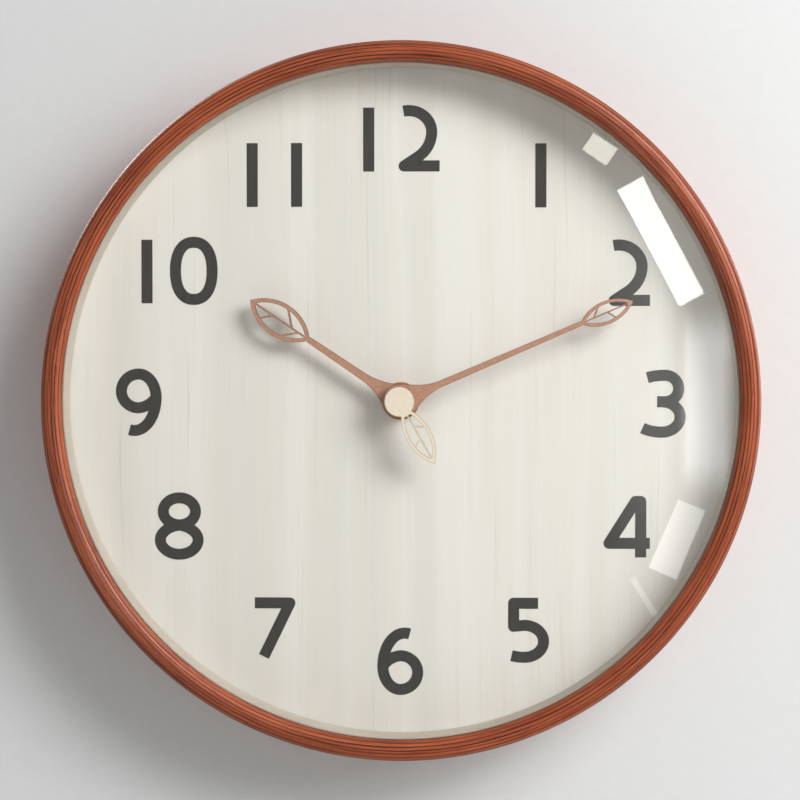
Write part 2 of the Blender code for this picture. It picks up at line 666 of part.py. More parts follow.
def setting_knob(motion_phase):
    """The knob behind the cover, its shaft, and the wheel inside that turns the motion work."""
    phase = meshing(MOTION_ARBOR, MOTION_TEETH, motion_phase, KNOB_ARBOR, KNOB_TEETH)
    rear = REAR - GAP
    rim = []
    for number in range(KNOB_FLUTES * 2):
        rim.append(polar(KNOB_RADIUS * (1.0 if number % 2 else 0.92), number * 180 / KNOB_FLUTES))
    knob = plate("setting_knob", [rim], rear - KNOB_THICKNESS, rear, BLACK_PLASTIC, KNOB_ARBOR)
    front, back = MOTION_LEVELS
    low, high = rear - KNOB_THICKNESS / 2, level((front + back) / 2)
    shaft = disc("knob_shaft", KNOB_SHAFT_RADIUS, low, high, BLACK_PLASTIC, KNOB_ARBOR)
    outline = teeth(KNOB_TEETH, CANNON_MODULE, phase)
    gear = wheel("knob_gear", outline, MOTION_LEVELS, BLACK_PLASTIC, KNOB_ARBOR)
    low, high = high, level(ARBOR_LEVELS[0])
    join(knob, shaft, gear, disc("knob_pivot", PIVOT_RADIUS, low, high, BLACK_PLASTIC, KNOB_ARBOR, 12))


def motor_wheels():
    at = INTERMEDIATE_ARBOR
    phase = meshing(CENTRE, SECOND_TEETH, 0, at, INTERMEDIATE_PINION)
    outline = teeth(INTERMEDIATE_TEETH, ROTOR_MODULE)
    body = wheel("intermediate_wheel", outline, INTERMEDIATE_LEVELS, WHITE_NYLON, at)
    outline = teeth(INTERMEDIATE_PINION, SECOND_MODULE, phase)
    pinion = wheel("intermediate_pinion", outline, INTERMEDIATE_PINION_LEVELS, WHITE_NYLON, at)
    join(body, pinion, arbor("intermediate_arbor", at))

    phase = meshing(at, INTERMEDIATE_TEETH, 0, ROTOR_ARBOR, ROTOR_PINION)
    outline = teeth(ROTOR_PINION, ROTOR_MODULE, phase)
    spindle = arbor("rotor_pinion", ROTOR_ARBOR)
    join(spindle, wheel("rotor_teeth", outline, ROTOR_PINION_LEVELS, WHITE_NYLON, ROTOR_ARBOR))
    front, back = MAGNET_LEVELS
    bore = PIVOT_RADIUS + GAP
    tube("rotor_magnet", bore, ROTOR_RADIUS, level(back), level(front), MAGNET, ROTOR_ARBOR, sides=20)


# ------------------------------------------------------------------ the motor's stator and coil
ROTOR_RADIUS = 2.5 * MM
STATOR_BORE = ROTOR_RADIUS + 0.4 * MM
STATOR_WIDTH = 1.6 * MM
STATOR_LEG = 3.4 * MM
STATOR_YOKE = 4 * MM  # from the rotor's rim up to the plate's crossing
CORE_HALF = 1.5 * MM
BOBBIN_WALL = 0.6 * MM
BOBBIN_FLANGE = 0.8 * MM
BOBBIN_INSET = 4.2 * MM  # between a flange and the end of the core
FLANGE_HALF_HEIGHT = 3.1 * MM
FLANGE_HALF_DEPTH = 2.7 * MM
COIL_Y = CASE_ABOVE - CASE_WALL - GAP - FLANGE_HALF_HEIGHT - 0.2 * MM
COIL_LEFT = ROTOR_ARBOR[0] - STATOR_BORE - STATOR_WIDTH - 5.5 * MM
COIL_RIGHT = -3.2 * MM


def stator():
    """Soft-iron plate round the rotor, with two legs up to the core of the coil."""
    outer = STATOR_BORE + STATOR_WIDTH
    x, y = ROTOR_ARBOR
    left, top = COIL_LEFT + GAP, COIL_Y + CORE_HALF
    neck = y + outer * 0.55
    yoke = neck + STATOR_YOKE
    outline = [
        (left, top),
        (left, y - outer * 0.3),
        *arc(outer, 205, 380, 12, ROTOR_ARBOR),
        (COIL_RIGHT, yoke),
        (COIL_RIGHT, top),
        (COIL_RIGHT - STATOR_LEG, top),
        (COIL_RIGHT - STATOR_LEG, yoke + STATOR_YOKE / 2),
        (x, yoke),
        (left + STATOR_LEG, yoke),
        (left + STATOR_LEG, top),
    ]
    front, back = STATOR_LEVELS
    plate("stator", [outline, circle(STATOR_BORE, 20, ROTOR_ARBOR)], level(back), level(front), STEEL)


def coil():
    front, back = CORE_LEVELS
    low = (COIL_LEFT, COIL_Y - CORE_HALF, level(back))
    high = (COIL_RIGHT, COIL_Y + CORE_HALF, level(front))
    box_between("coil_core", low, high, STEEL)
    middle = level((front + back) / 2)
    core_half_depth = (back - front) * MM / 2
    left, right = COIL_LEFT + BOBBIN_INSET, COIL_RIGHT - BOBBIN_INSET

    def sleeve(name, half_y, half_z, x0, x1, paint):
        low = (x0, COIL_Y - half_y, middle - half_z)
        high = (x1, COIL_Y + half_y, middle + half_z)
        return box_between(name, low, high, paint)

    bore_y, bore_z = CORE_HALF + GAP, core_half_depth + GAP
    tube_y, tube_z = bore_y + BOBBIN_WALL, bore_z + BOBBIN_WALL
    half_y, half_z = FLANGE_HALF_HEIGHT, FLANGE_HALF_DEPTH
    end_left, end_right = left + BOBBIN_FLANGE, right - BOBBIN_FLANGE
    bobbin = sleeve("coil_bobbin", tube_y, tube_z, end_left - LAP, end_right + LAP, WHITE_NYLON)
    join(bobbin, sleeve("flange_left", half_y, half_z, left, end_left, None))
    join(bobbin, sleeve("flange_right", half_y, half_z, end_right, right, None))
    cut(bobbin, sleeve("bobbin_bore", bore_y, bore_z, left - LAP, right + LAP, None))
    inside_y, inside_z = tube_y + GAP, tube_z + GAP
    wound_left, wound_right = end_left + GAP, end_right - GAP
    loops = [
        rounded_box((-half_y, -half_z), (half_y, half_z), 1.2 * MM, 3),
        rounded_box((-inside_y, -inside_z), (inside_y, inside_z), 0.3 * MM, 1),
    ]
    centre = ((wound_left + wound_right) / 2, COIL_Y, middle)
    turn = (math.pi / 2, 0, math.pi / 2)
    flat("coil_winding", loops, wound_right - wound_left, COPPER, centre, turn)


# ------------------------------------------------------------------ movement case
BAY_LENGTH = BATTERY_LENGTH + CONTACT_STEEL + CONTACT_SPRING + 4 * GAP
POST_TO_THIRD = THIRD_TIP + ARBOR_CLEARANCE + POST_RADIUS
POST_TO_KNOB = tip_radius(KNOB_TEETH, CANNON_MODULE) + ARBOR_CLEARANCE + POST_RADIUS
UPPER_POST = crossing(KNOB_ARBOR, POST_TO_KNOB, THIRD_ARBOR, POST_TO_THIRD)
BOARD_LEFT = UPPER_POST[0] + POST_RADIUS + ARBOR_CLEARANCE
BOARD_RIGHT_LEAST = BOARD_LEFT + 2.4 * CHIP_RADIUS + 4 * CRYSTAL_RADIUS
# Half the width inside the case, with room for the cell, the stator and the circuit board.
INSIDE = max(BAY_LENGTH / 2, GAP - COIL_LEFT, BOARD_RIGHT_LEAST + GAP)
HALF = INSIDE + CASE_WALL
INSIDE_TOP = CASE_ABOVE - CASE_WALL
TRAY_BACK = REAR + COVER_THICKNESS + GAP
DIVIDER_HIGH = -CENTRE_TIP - ARBOR_CLEARANCE
DIVIDER_LOW = DIVIDER_HIGH - DIVIDER
BATTERY_Y = DIVIDER_LOW - GAP - BATTERY_DIAMETER / 2
BAY_BOTTOM = BATTERY_Y - BATTERY_DIAMETER / 2 - GAP
CASE_BOTTOM = BAY_BOTTOM - CASE_WALL
BATTERY_MIDDLE = MOVEMENT_FRONT - CASE_FRONT_WALL - GAP - BATTERY_DIAMETER / 2
LEFT_POST = (ROTOR_ARBOR[0] - 2 * MM, DIVIDER_HIGH + 5 * MM)
RIGHT_POST = polar(POST_TO_THIRD, -55, THIRD_ARBOR)
BRIDGE_POSTS = (LEFT_POST, RIGHT_POST, UPPER_POST)


def movement_case():
    """The front half: a tray with the battery bay below, a divider, posts and bearing holes."""
    outline = rounded_box((-HALF, CASE_BOTTOM), (HALF, CASE_ABOVE), CASE_CORNER)
    tray = plate("movement_case", [outline], TRAY_BACK, MOVEMENT_FRONT, BLACK_PLASTIC)
    floor = MOVEMENT_FRONT - CASE_FRONT_WALL
    below = TRAY_BACK - LAP
    room_outline = rounded_box((-INSIDE, DIVIDER_HIGH), (INSIDE, INSIDE_TOP), ROOM_CORNER)
    wheels_room = plate("wheels_room", [room_outline], below, floor, None)
    bay_outline = [(-INSIDE, BAY_BOTTOM), (INSIDE, BAY_BOTTOM), (INSIDE, DIVIDER_LOW), (-INSIDE, DIVIDER_LOW)]
    bay = plate("battery_bay", [bay_outline], below, floor, None)
    notch_low = (INSIDE - 3 * CONTACT_STEEL - 2 * GAP, DIVIDER_LOW - LAP, below)
    notch_high = (INSIDE, DIVIDER_HIGH + ROOM_CORNER, floor - 3 * MM)
    notch = box_between("contact_notch", notch_low, notch_high, None)
    cut(tray, wheels_room, bay, notch)
    high = floor + LAP
    for number, at in enumerate(BRIDGE_POSTS):
        join(tray, disc(f"bridge_post_{number}", POST_RADIUS, level(BRIDGE_LEVELS[0]) + GAP, high, None, at))
    low = level(MOTION_POST_BACK)
    join(tray, disc("motion_post", MOTION_POST_RADIUS, low, high, None, MOTION_ARBOR, 12))
    radius, low, high = PIVOT_RADIUS + PIVOT_GAP, floor - LAP, floor + PIVOT_DEPTH
    for number, at in enumerate((THIRD_ARBOR, INTERMEDIATE_ARBOR, ROTOR_ARBOR, KNOB_ARBOR)):
        cut(tray, disc(f"bearing_{number}", radius, low, high, None, at, 12))
    cut(tray, disc("bushing_seat", BUSHING_RADIUS + GAP, low, MOVEMENT_FRONT + LAP, None, sides=24))


def movement_cover():
    """The rear half over the wheels, with four snap hooks and the knob's hole. The battery bay stays open."""
    outline = rounded_box((-HALF, DIVIDER_LOW), (HALF, CASE_ABOVE), CASE_CORNER)
    knob_hole = circle(KNOB_SHAFT_RADIUS + RUNNING_GAP, 16, KNOB_ARBOR)
    cover = plate("movement_cover", [outline, knob_hole], REAR, REAR + COVER_THICKNESS, BLACK_PLASTIC)
    hooks = []
    for side in (-1, 1):
        for number, y in enumerate((DIVIDER_HIGH + HOOK_WIDTH, INSIDE_TOP - 1.5 * HOOK_WIDTH)):
            wall = side * (INSIDE - GAP)
            xs = sorted((wall, wall - side * HOOK_STEP))
            low = (xs[0], y - HOOK_WIDTH / 2, REAR + COVER_THICKNESS / 2)
            high = (xs[1], y + HOOK_WIDTH / 2, REAR + COVER_THICKNESS + HOOK_LENGTH)
            hooks.append(box_between(f"hook_{number}_{side + 1}", low, high, None))
    join(cover, *hooks)


def train_bridge():
    """The plate that carries the rear pivots, on three posts of the case."""
    edge = POST_RADIUS + 1.3 * MM  # from a post's middle to the plate's edge
    left, right, bottom = LEFT_POST[0] - edge, RIGHT_POST[0] + edge, RIGHT_POST[1] - edge
    lobe_left, lobe_right, lobe_top = UPPER_POST[0] - edge, UPPER_POST[0] + edge, UPPER_POST[1] + edge
    shoulder = KNOB_ARBOR[1] - KNOB_SHAFT_RADIUS - edge
    outline = [(left, bottom), (right, bottom), (right, RIGHT_POST[1] + edge), (lobe_right, THIRD_ARBOR[1])]
    outline += [(lobe_right, lobe_top), (lobe_left, lobe_top), (lobe_left, shoulder), (left, shoulder)]
    holes = [circle(PIVOT_RADIUS + PIVOT_GAP, 12, at) for at in (THIRD_ARBOR, INTERMEDIATE_ARBOR, ROTOR_ARBOR)]
    holes.append(circle(SECOND_ARBOR_RADIUS + PIVOT_GAP, 12))
    front, back = BRIDGE_LEVELS
    plate("train_bridge", [outline, *holes], level(back), level(front), WHITE_NYLON)


def mounting_hardware():
    """The threaded bushing that holds the movement to the dial, with its nut and washers."""
    low = MOVEMENT_FRONT - CASE_FRONT_WALL
    tube("threaded_bushing", BUSHING_BORE, BUSHING_RADIUS, low, BUSHING_TOP, BRASS)
    clear = BUSHING_RADIUS + GAP
    tube("rubber_washer", clear, WASHER_RADIUS, MOVEMENT_FRONT + GAP, BOARD_BACK - GAP, RUBBER)
    tube("front_washer", clear, WASHER_RADIUS, DIAL_TOP + GAP, WASHER_TOP, BRASS)
    hexagon = [polar(NUT_FLATS / math.sqrt(3), 60 * n + 30) for n in range(6)]
    plate("hex_nut", [hexagon, circle(clear, 24)], WASHER_TOP + GAP, NUT_TOP, BRASS)


# ------------------------------------------------------------------ electrics
POSITIVE_X = INSIDE - GAP - CONTACT_STEEL
BATTERY_TIP = POSITIVE_X - GAP
BOARD_LOW = THIRD_ARBOR[1] + THIRD_TIP + ARBOR_CLEARANCE


def battery():
    radius, half = BATTERY_DIAMETER / 2, BATTERY_LENGTH / 2
    shoulder, edge = half - BATTERY_NUB_LENGTH, BATTERY_EDGE
    section = [
        (0, half),
        (BATTERY_NUB_RADIUS, half),
        (BATTERY_NUB_RADIUS, shoulder),
        (radius - edge, shoulder),
        (radius, shoulder - edge),
        (radius, edge - half),
        (radius - edge, -half),
        (0, -half),
    ]
    at = (BATTERY_TIP - half, BATTERY_Y, BATTERY_MIDDLE)
    turned("battery", section, CELL, at, (0, math.pi / 2, 0), sides=24)


def contacts():
    """Two sprung strips that stand on edge in the battery bay."""
    steel, at = CONTACT_STEEL, (0, 0, BATTERY_MIDDLE)
    x, low, high = POSITIVE_X, BATTERY_Y - BATTERY_NUB_RADIUS, BOARD_LOW - 2 * GAP
    strip = [(x, low), (x + steel, low), (x + steel, high), (x, high)]
    flat("contact_positive", [strip], CONTACT_WIDTH / 2, STEEL, at)
    wall, face = GAP - INSIDE, BATTERY_TIP - BATTERY_LENGTH - GAP
    y, foot, crown = BATTERY_Y, CONTACT_FOOT, CONTACT_CROWN
    bow = [
        (wall, y - foot),
        (wall + steel, y - foot),
        (face, y - crown),
        (face, y + crown),
        (wall + steel, y + foot),
        (wall, y + foot),
        (face - steel, y + crown),
        (face - steel, y - crown),
    ]
    flat("contact_negative", [bow], CONTACT_WIDTH, STEEL, at)


def circuit():
    front, back = BOARD_LEVELS
    low, high = (BOARD_LEFT, BOARD_LOW), (INSIDE - GAP, INSIDE_TOP - GAP)
    outline = rounded_box(low, high, CASE_CORNER / 2, 2)
    plate("circuit_board", [outline], level(back), level(front), CIRCUIT)
    rear = level(back) - GAP
    middle = (low[1] + high[1]) / 2
    r, height = CHIP_RADIUS, CHIP_HEIGHT
    drop = [(0, 0), (r, 0), (0.85 * r, -height / 2), (0.45 * r, -0.9 * height), (0, -height)]
    turned("clock_chip", drop, EPOXY, (BOARD_LEFT + 1.3 * r, middle, rear), sides=16)
    r, half = CRYSTAL_RADIUS, CRYSTAL_LENGTH / 2
    can = [(0, half), (r, half), (r, -half), (0, -half)]
    at = (high[0] - 2.3 * r, middle, rear - r)
    turned("quartz_crystal", can, STEEL, at, (math.pi / 2, 0, 0), sides=12)


# ------------------------------------------------------------------ hands
LEAF_STEPS = 10
ARM_STEPS = 14


def leaf_side(length, half_width, inset):
    """Points (along, across) of one bowed side of a leaf, base to tip; its two sides are equal arcs."""
    bow = ((length / 2) ** 2 + half_width**2) / (2 * half_width)
    radius = bow - inset
    offset = bow - half_width
    reach = math.degrees(math.acos(offset / radius))
    return arc(radius, 90 + reach, 90 - reach, LEAF_STEPS, (length / 2, -offset))


def leaf_panes(leaf):
    """The openings between a leaf's rim, its midrib and its side veins."""
    panes = []
    for side in (-1, 1):
        half = leaf_side(leaf["length"], leaf["half_width"], leaf["rim"])
        half = keep_side(half, (0, leaf["vein"] / 2), (0, 1))
        rest = keep_side(half, (leaf["open_from"], 0), (1, 0))
        for start, end in leaf["veins"][side]:
            base = start * leaf["length"]
            along, across = end * leaf["length"] - base, leaf_height(leaf, end * leaf["length"])
            size = math.hypot(along, across)
            normal = (across / size, -along / size)
            margin = leaf["vein"] / 2
            before = (base - normal[0] * margin, -normal[1] * margin)
            after = (base + normal[0] * margin, normal[1] * margin)
            panes.append((side, keep_side(rest, before, (-normal[0], -normal[1]))))
            rest = keep_side(rest, after, normal)
        panes.append((side, rest))
    return panes


def leaf_height(leaf, along):
    """Half the leaf's width at a point along it."""
    length, half_width = leaf["length"], leaf["half_width"]
    bow = ((length / 2) ** 2 + half_width**2) / (2 * half_width)
    return math.sqrt(bow**2 - (along - length / 2) ** 2) - (bow - half_width)


def hand_outline(hand, leaf):
    """A hand that points up: its leaf, tapered arm and flare on the right, the hub's far side, then the left."""
    base = hand["tip"] - leaf["length"]
    start = base + leaf["join"]
    side = leaf_side(leaf["length"], leaf["half_width"], 0)
    right = [(across, base + along) for along, across in reversed(side) if base + along > start]
    nearest = hand["tip"]
    for n in range(ARM_STEPS + 1):
        y = start * (1 - n / ARM_STEPS)
        share = y / base
        half = hand["hub_half"] + (hand["arm_half"] - hand["hub_half"]) * share
        if y < hand["flare_from"]:
            half += hand["flare"] * (1 - y / hand["flare_from"]) ** 2
        reach = math.hypot(half, y)
        if reach < hand["hub"] * 1.02 or reach > nearest:
            break
        nearest = reach
        right.append((half, y))
    last = math.degrees(math.atan2(right[-1][1], right[-1][0]))
    far = arc(hand["hub"], last - 4, -180 - last + 4, 16)
    left = [(-x, y) for x, y in reversed(right) if x > 0.00001]
    return right + far + left


def hand_holes(hand, leaf):
    base = hand["tip"] - leaf["length"]
    return [[(side * across, base + along) for along, across in pane] for side, pane in leaf_panes(leaf)]


# Veins are pairs (where one leaves the midrib, where it meets the rim), in shares of the leaf; -1 is the side
# towards earlier hours.
HOUR_LEAF = {
    "length": 30.2 * MM, "half_width": 7.25 * MM, "rim": 1.7 * MM, "vein": 0.75 * MM,
    "open_from": 0.0, "join": 0.3 * MM, "veins": {-1: ((0.19, 0.444), (0.624, 0.79)), 1: ((0.30, 0.54),)},
}
HOUR_HAND = {
    "tip": 76.1 * MM, "hub": HUB_RADIUS, "arm_half": 1.25 * MM, "hub_half": 1.9 * MM,
    "flare_from": 19 * MM, "flare": 6.5 * MM,
}
MINUTE_LEAF = {
    "length": 24.2 * MM, "half_width": 4.85 * MM, "rim": 1.4 * MM, "vein": 0.6 * MM,
    "open_from": 0.0, "join": 0.4 * MM, "veins": {-1: ((0.263, 0.45),), 1: ((0.517, 0.646),)},
}
MINUTE_HAND = {
    "tip": 106.2 * MM, "hub": HUB_RADIUS, "arm_half": 1.0 * MM, "hub_half": 1.55 * MM,
    "flare_from": 19 * MM, "flare": 8 * MM,
}
SECOND_LEAF = {
    "length": 27.4 * MM, "half_width": 5.3 * MM, "rim": 1.4 * MM, "vein": 0.6 * MM,
    "open_from": 4.3 * MM, "join": 0.0, "veins": {-1: ((0.342, 0.472),), 1: ((0.56, 0.649),)},
}
SECOND_TIP = 29.9 * MM


def clockwise(angle):
    return (0, 0, -math.radians(angle))


def hand(name, shape, leaf, angle, low, paint, hub_hole):
    loops = [hand_outline(shape, leaf), *hand_holes(shape, leaf), circle(hub_hole, 20)]
    at = (0, 0, low + HAND_THICKNESS / 2)
    flat(name, loops, HAND_THICKNESS, paint, at, clockwise(angle))


def hand_bush(name, bore, hand_back, hand_top):
    """A brass bush with a flange behind the hand, which grips the pipe. Returns its outer radius."""
    outer = bore + BUSH_WALL
    low = hand_back - GAP - BUSH_FLANGE
    section = [
        (outer, hand_top),
        (outer, hand_back - GAP),
        (BUSH_FLANGE_RADIUS, hand_back - GAP),
        (BUSH_FLANGE_RADIUS, low),
        (bore, low),
        (bore, hand_top),
    ]
    turned(name, section, BRASS, sides=20, ring=True)
    return outer + GAP


def second_hand():
    """A birch disc with a short leaf; its bush stands in a blind hole behind."""
    base = SECOND_TIP - SECOND_LEAF["length"]
    side = leaf_side(SECOND_LEAF["length"], SECOND_LEAF["half_width"], 0)
    right = [(across, base + along) for along, across in reversed(side)]
    right = [point for point in right if math.hypot(*point) > DISC_RADIUS * 1.02]
    last = math.degrees(math.atan2(right[-1][1], right[-1][0]))
    far = arc(DISC_RADIUS, last - 6, -180 - last + 6, 24)
    left = [(-x, y) for x, y in reversed(right) if x > 0.00001]
    loops = [right + far + left, *hand_holes({"tip": SECOND_TIP}, SECOND_LEAF)]
    at = (0, 0, SECOND_HAND_BACK + HAND_THICKNESS / 2)
    disc_and_leaf = flat("second_hand", loops, HAND_THICKNESS, BIRCH_HAND, at, clockwise(SECOND_ANGLE))
    bore = SECOND_ARBOR_RADIUS + PIVOT_GAP
    outer = bore + BUSH_WALL
    nose = SECOND_HAND_BACK + HAND_THICKNESS * 0.5
    low = SECOND_HAND_BACK - GAP - BUSH_FLANGE
    section = [
        (outer, nose),
        (outer, SECOND_HAND_BACK - GAP),
        (2 * outer, SECOND_HAND_BACK - GAP),
        (2 * outer, low),
        (bore, low),
        (bore, nose),
    ]
    turned("second_hand_bush", section, BRASS, sides=16, ring=True)
    cut(disc_and_leaf, disc("second_hand_seat", outer + GAP, SECOND_HAND_BACK - LAP, nose + GAP, None))


def hands():
    hole = hand_bush("hour_hand_bush", HOUR_PIPE_OUTER + PIVOT_GAP, HOUR_HAND_BACK, HOUR_HAND_TOP)
    hand("hour_hand", HOUR_HAND, HOUR_LEAF, HOUR_ANGLE, HOUR_HAND_BACK, WALNUT_HAND, hole)
    hole = hand_bush("minute_hand_bush", MINUTE_PIPE_OUTER + PIVOT_GAP, MINUTE_HAND_BACK, MINUTE_HAND_TOP)
    hand("minute_hand", MINUTE_HAND, MINUTE_LEAF, MINUTE_ANGLE, MINUTE_HAND_BACK, WALNUT_HAND, hole)
    second_hand()


def build():
    frame_ring()
    lens_glass()
    case_rings()
    for number, angle in enumerate(CLIP_ANGLES, 1):
        retainer_clip(number, angle)
    hanger()
    movement_case()
    movement_cover()
    train_bridge()
    mounting_hardware()
    battery()
    contacts()
    circuit()
    stator()
    coil()
    second_wheel()
    third_wheel()
    minute_train()
    setting_knob(motion_work())
    motor_wheels()
    hands()


build()
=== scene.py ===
"""The looks of a round wall clock: bentwood ring, domed glass, whitewashed dial and leaf hands.

Metres, +Z up, dial facing -Y. Heights are measured forward from the wall that the clock hangs on.
"""
import math
import bmesh
import bpy
from mathutils import Matrix, Vector
from mathutils.geometry import delaunay_2d_cdt, tessellate_polygon


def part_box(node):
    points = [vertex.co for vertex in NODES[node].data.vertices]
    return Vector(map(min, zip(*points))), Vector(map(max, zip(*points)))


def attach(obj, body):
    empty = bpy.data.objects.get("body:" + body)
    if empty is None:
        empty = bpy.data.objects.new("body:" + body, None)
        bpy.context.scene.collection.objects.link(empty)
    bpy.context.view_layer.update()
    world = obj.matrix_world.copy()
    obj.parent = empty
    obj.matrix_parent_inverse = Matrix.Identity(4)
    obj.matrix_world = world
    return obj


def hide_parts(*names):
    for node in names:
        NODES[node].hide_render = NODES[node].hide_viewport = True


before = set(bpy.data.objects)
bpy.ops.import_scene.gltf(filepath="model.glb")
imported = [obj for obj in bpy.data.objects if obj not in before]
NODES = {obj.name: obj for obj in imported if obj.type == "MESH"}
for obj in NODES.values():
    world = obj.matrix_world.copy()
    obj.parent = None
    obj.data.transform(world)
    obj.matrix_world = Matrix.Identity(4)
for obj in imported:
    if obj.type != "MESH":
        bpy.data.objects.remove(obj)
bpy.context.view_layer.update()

MM = 0.001

# ------------------------------------------------------------------ sizes, from the frame where it holds them
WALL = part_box("frame_ring")[1].y  # the plane of the wall, behind the ring
RING_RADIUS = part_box("frame_ring")[1].x
RING_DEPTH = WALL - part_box("frame_ring")[0].y
INSIDE_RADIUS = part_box("dial_face")[1].x
DIAL_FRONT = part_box("dial_face")[0].y
LIP_RADIUS = RING_RADIUS - 9 * MM
REBATE_RADIUS = LIP_RADIUS + 2 * MM
LIP_BACK = RING_DEPTH - 4 * MM
CENTRE_HOLE = 4.3 * MM  # the hole that the threaded bushing passes through
RING_STEPS = 360
DISC_STEPS = 240
ROUND_STEPS = 48
SHARP_ANGLE = 35  # in degrees: an edge that turns more than this is shaded sharp
BEVEL_ANGLE = 38  # in degrees: an edge that turns more than this is rounded

CROWN = 3.8 * MM  # how far the ring's front falls to its two edges
CROWN_POWER = 2.0
BURN_WIDTH = 0.6 * MM  # how far the laser has browned the face of a hand from its edge
FIRST_PLY = LIP_RADIUS + 1.3 * MM
PLY = 1.46 * MM
PLY_JOINTS = 6
RING_MIDDLE = (RING_RADIUS + LIP_RADIUS) / 2
RING_HALF = (RING_RADIUS - LIP_RADIUS) / 2
GROOVE_DEPTH = 0.13 * MM
GROOVE_HALF = 0.17 * MM

GLASS_THICKNESS = 2 * MM
CLIP_ANGLES = (45, 135, 225, 315)
HOUR_ANGLE = 304.0  # degrees clockwise from 12 o'clock
MINUTE_ANGLE = 66.7
SECOND_ANGLE = 150.3


def at(height):
    """The y of a height above the wall."""
    return WALL - height


def rgb(red, green, blue):
    """A colour given as it looks on screen, 0 to 255, as the linear values that shaders take."""
    def linear(value):
        value /= 255
        return value / 12.92 if value <= 0.04045 else ((value + 0.055) / 1.055) ** 2.4
    return (linear(red), linear(green), linear(blue), 1.0)


def link(name, data):
    """A new object in the scene."""
    made = bpy.data.objects.new(name, data)
    bpy.context.scene.collection.objects.link(made)
    return made


# ------------------------------------------------------------------ materials
class Recipe:
    """One material's nodes, and the few kinds of step that the recipes share."""

    def __init__(self, name, roughness=0.5, metallic=0.0, specular=0.5):
        self.material = bpy.data.materials.new(name)
        self.material.use_nodes = True
        self.tree = self.material.node_tree
        self.shader = self.tree.nodes["Principled BSDF"]
        self.shader.inputs["Roughness"].default_value = roughness
        self.shader.inputs["Metallic"].default_value = metallic
        self.shader.inputs["Specular IOR Level"].default_value = specular
        self.place = self.add("ShaderNodeTexCoord").outputs["Object"]

    def add(self, kind, inputs=None, **settings):
        node = self.tree.nodes.new(kind)
        for name, value in settings.items():
            setattr(node, name, value)
        for socket, value in (inputs or {}).items():
            if isinstance(value, bpy.types.NodeSocket):
                self.tree.links.new(value, node.inputs[socket])
            else:
                node.inputs[socket].default_value = value
        return node

    def math(self, operation, a, b=0.0, c=0.0):
        return self.add("ShaderNodeMath", {0: a, 1: b, 2: c}, operation=operation).outputs[0]

    def vector(self, operation, a, b=(0, 0, 0), output=0):
        return self.add("ShaderNodeVectorMath", {0: a, 1: b}, operation=operation).outputs[output]

    def scaled(self, x, y, z, vector=None):
        return self.vector("MULTIPLY", vector or self.place, (x, y, z))

    def parts(self, vector=None):
        node = self.add("ShaderNodeSeparateXYZ", {0: vector or self.place})
        return node.outputs[0], node.outputs[1], node.outputs[2]

    def noise(self, vector, scale=1.0, detail=3.0, rough=0.55, w=None):
        inputs = {"Vector": vector, "Scale": scale, "Detail": detail, "Roughness": rough}
        if w is not None:
            inputs["W"] = w
        kind = "3D" if w is None else "4D"
        return self.add("ShaderNodeTexNoise", inputs, noise_dimensions=kind).outputs[0]

    def spread(self, value, low, high, to_low=0.0, to_high=1.0):
        """value eased from low..high to to_low..to_high, and held beyond them."""
        inputs = {"Value": value, "From Min": low, "From Max": high, "To Min": to_low, "To Max": to_high}
        return self.add("ShaderNodeMapRange", inputs, interpolation_type="SMOOTHSTEP").outputs[0]

    def mix(self, share, a, b):
        return self.add("ShaderNodeMix", {0: share, 6: a, 7: b}, data_type="RGBA").outputs[2]

    def bump(self, height, depth, under=None):
        inputs = {"Height": height, "Distance": depth}
        if under is not None:
            inputs["Normal"] = under
        return self.add("ShaderNodeBump", inputs).outputs[0]

    def done(self, colour=None, roughness=None, normal=None, metallic=None):
        given = {"Base Color": colour, "Roughness": roughness, "Normal": normal, "Metallic": metallic}
        for socket, value in given.items():
            if value is not None:
                self.tree.links.new(value, self.shader.inputs[socket])
        return self.material

    def see_through(self, share, shader, clear=(1, 1, 1, 1)):
        """The surface lets light pass, tinted clear, but for this share, which the shader gives."""
        bare = self.add("ShaderNodeBsdfTransparent", {"Color": clear})
        both = self.add("ShaderNodeMixShader", {0: share, 1: bare.outputs[0], 2: shader.outputs[0]})
        self.tree.links.new(both.outputs[0], self.tree.nodes["Material Output"].inputs["Surface"])
        return self.material


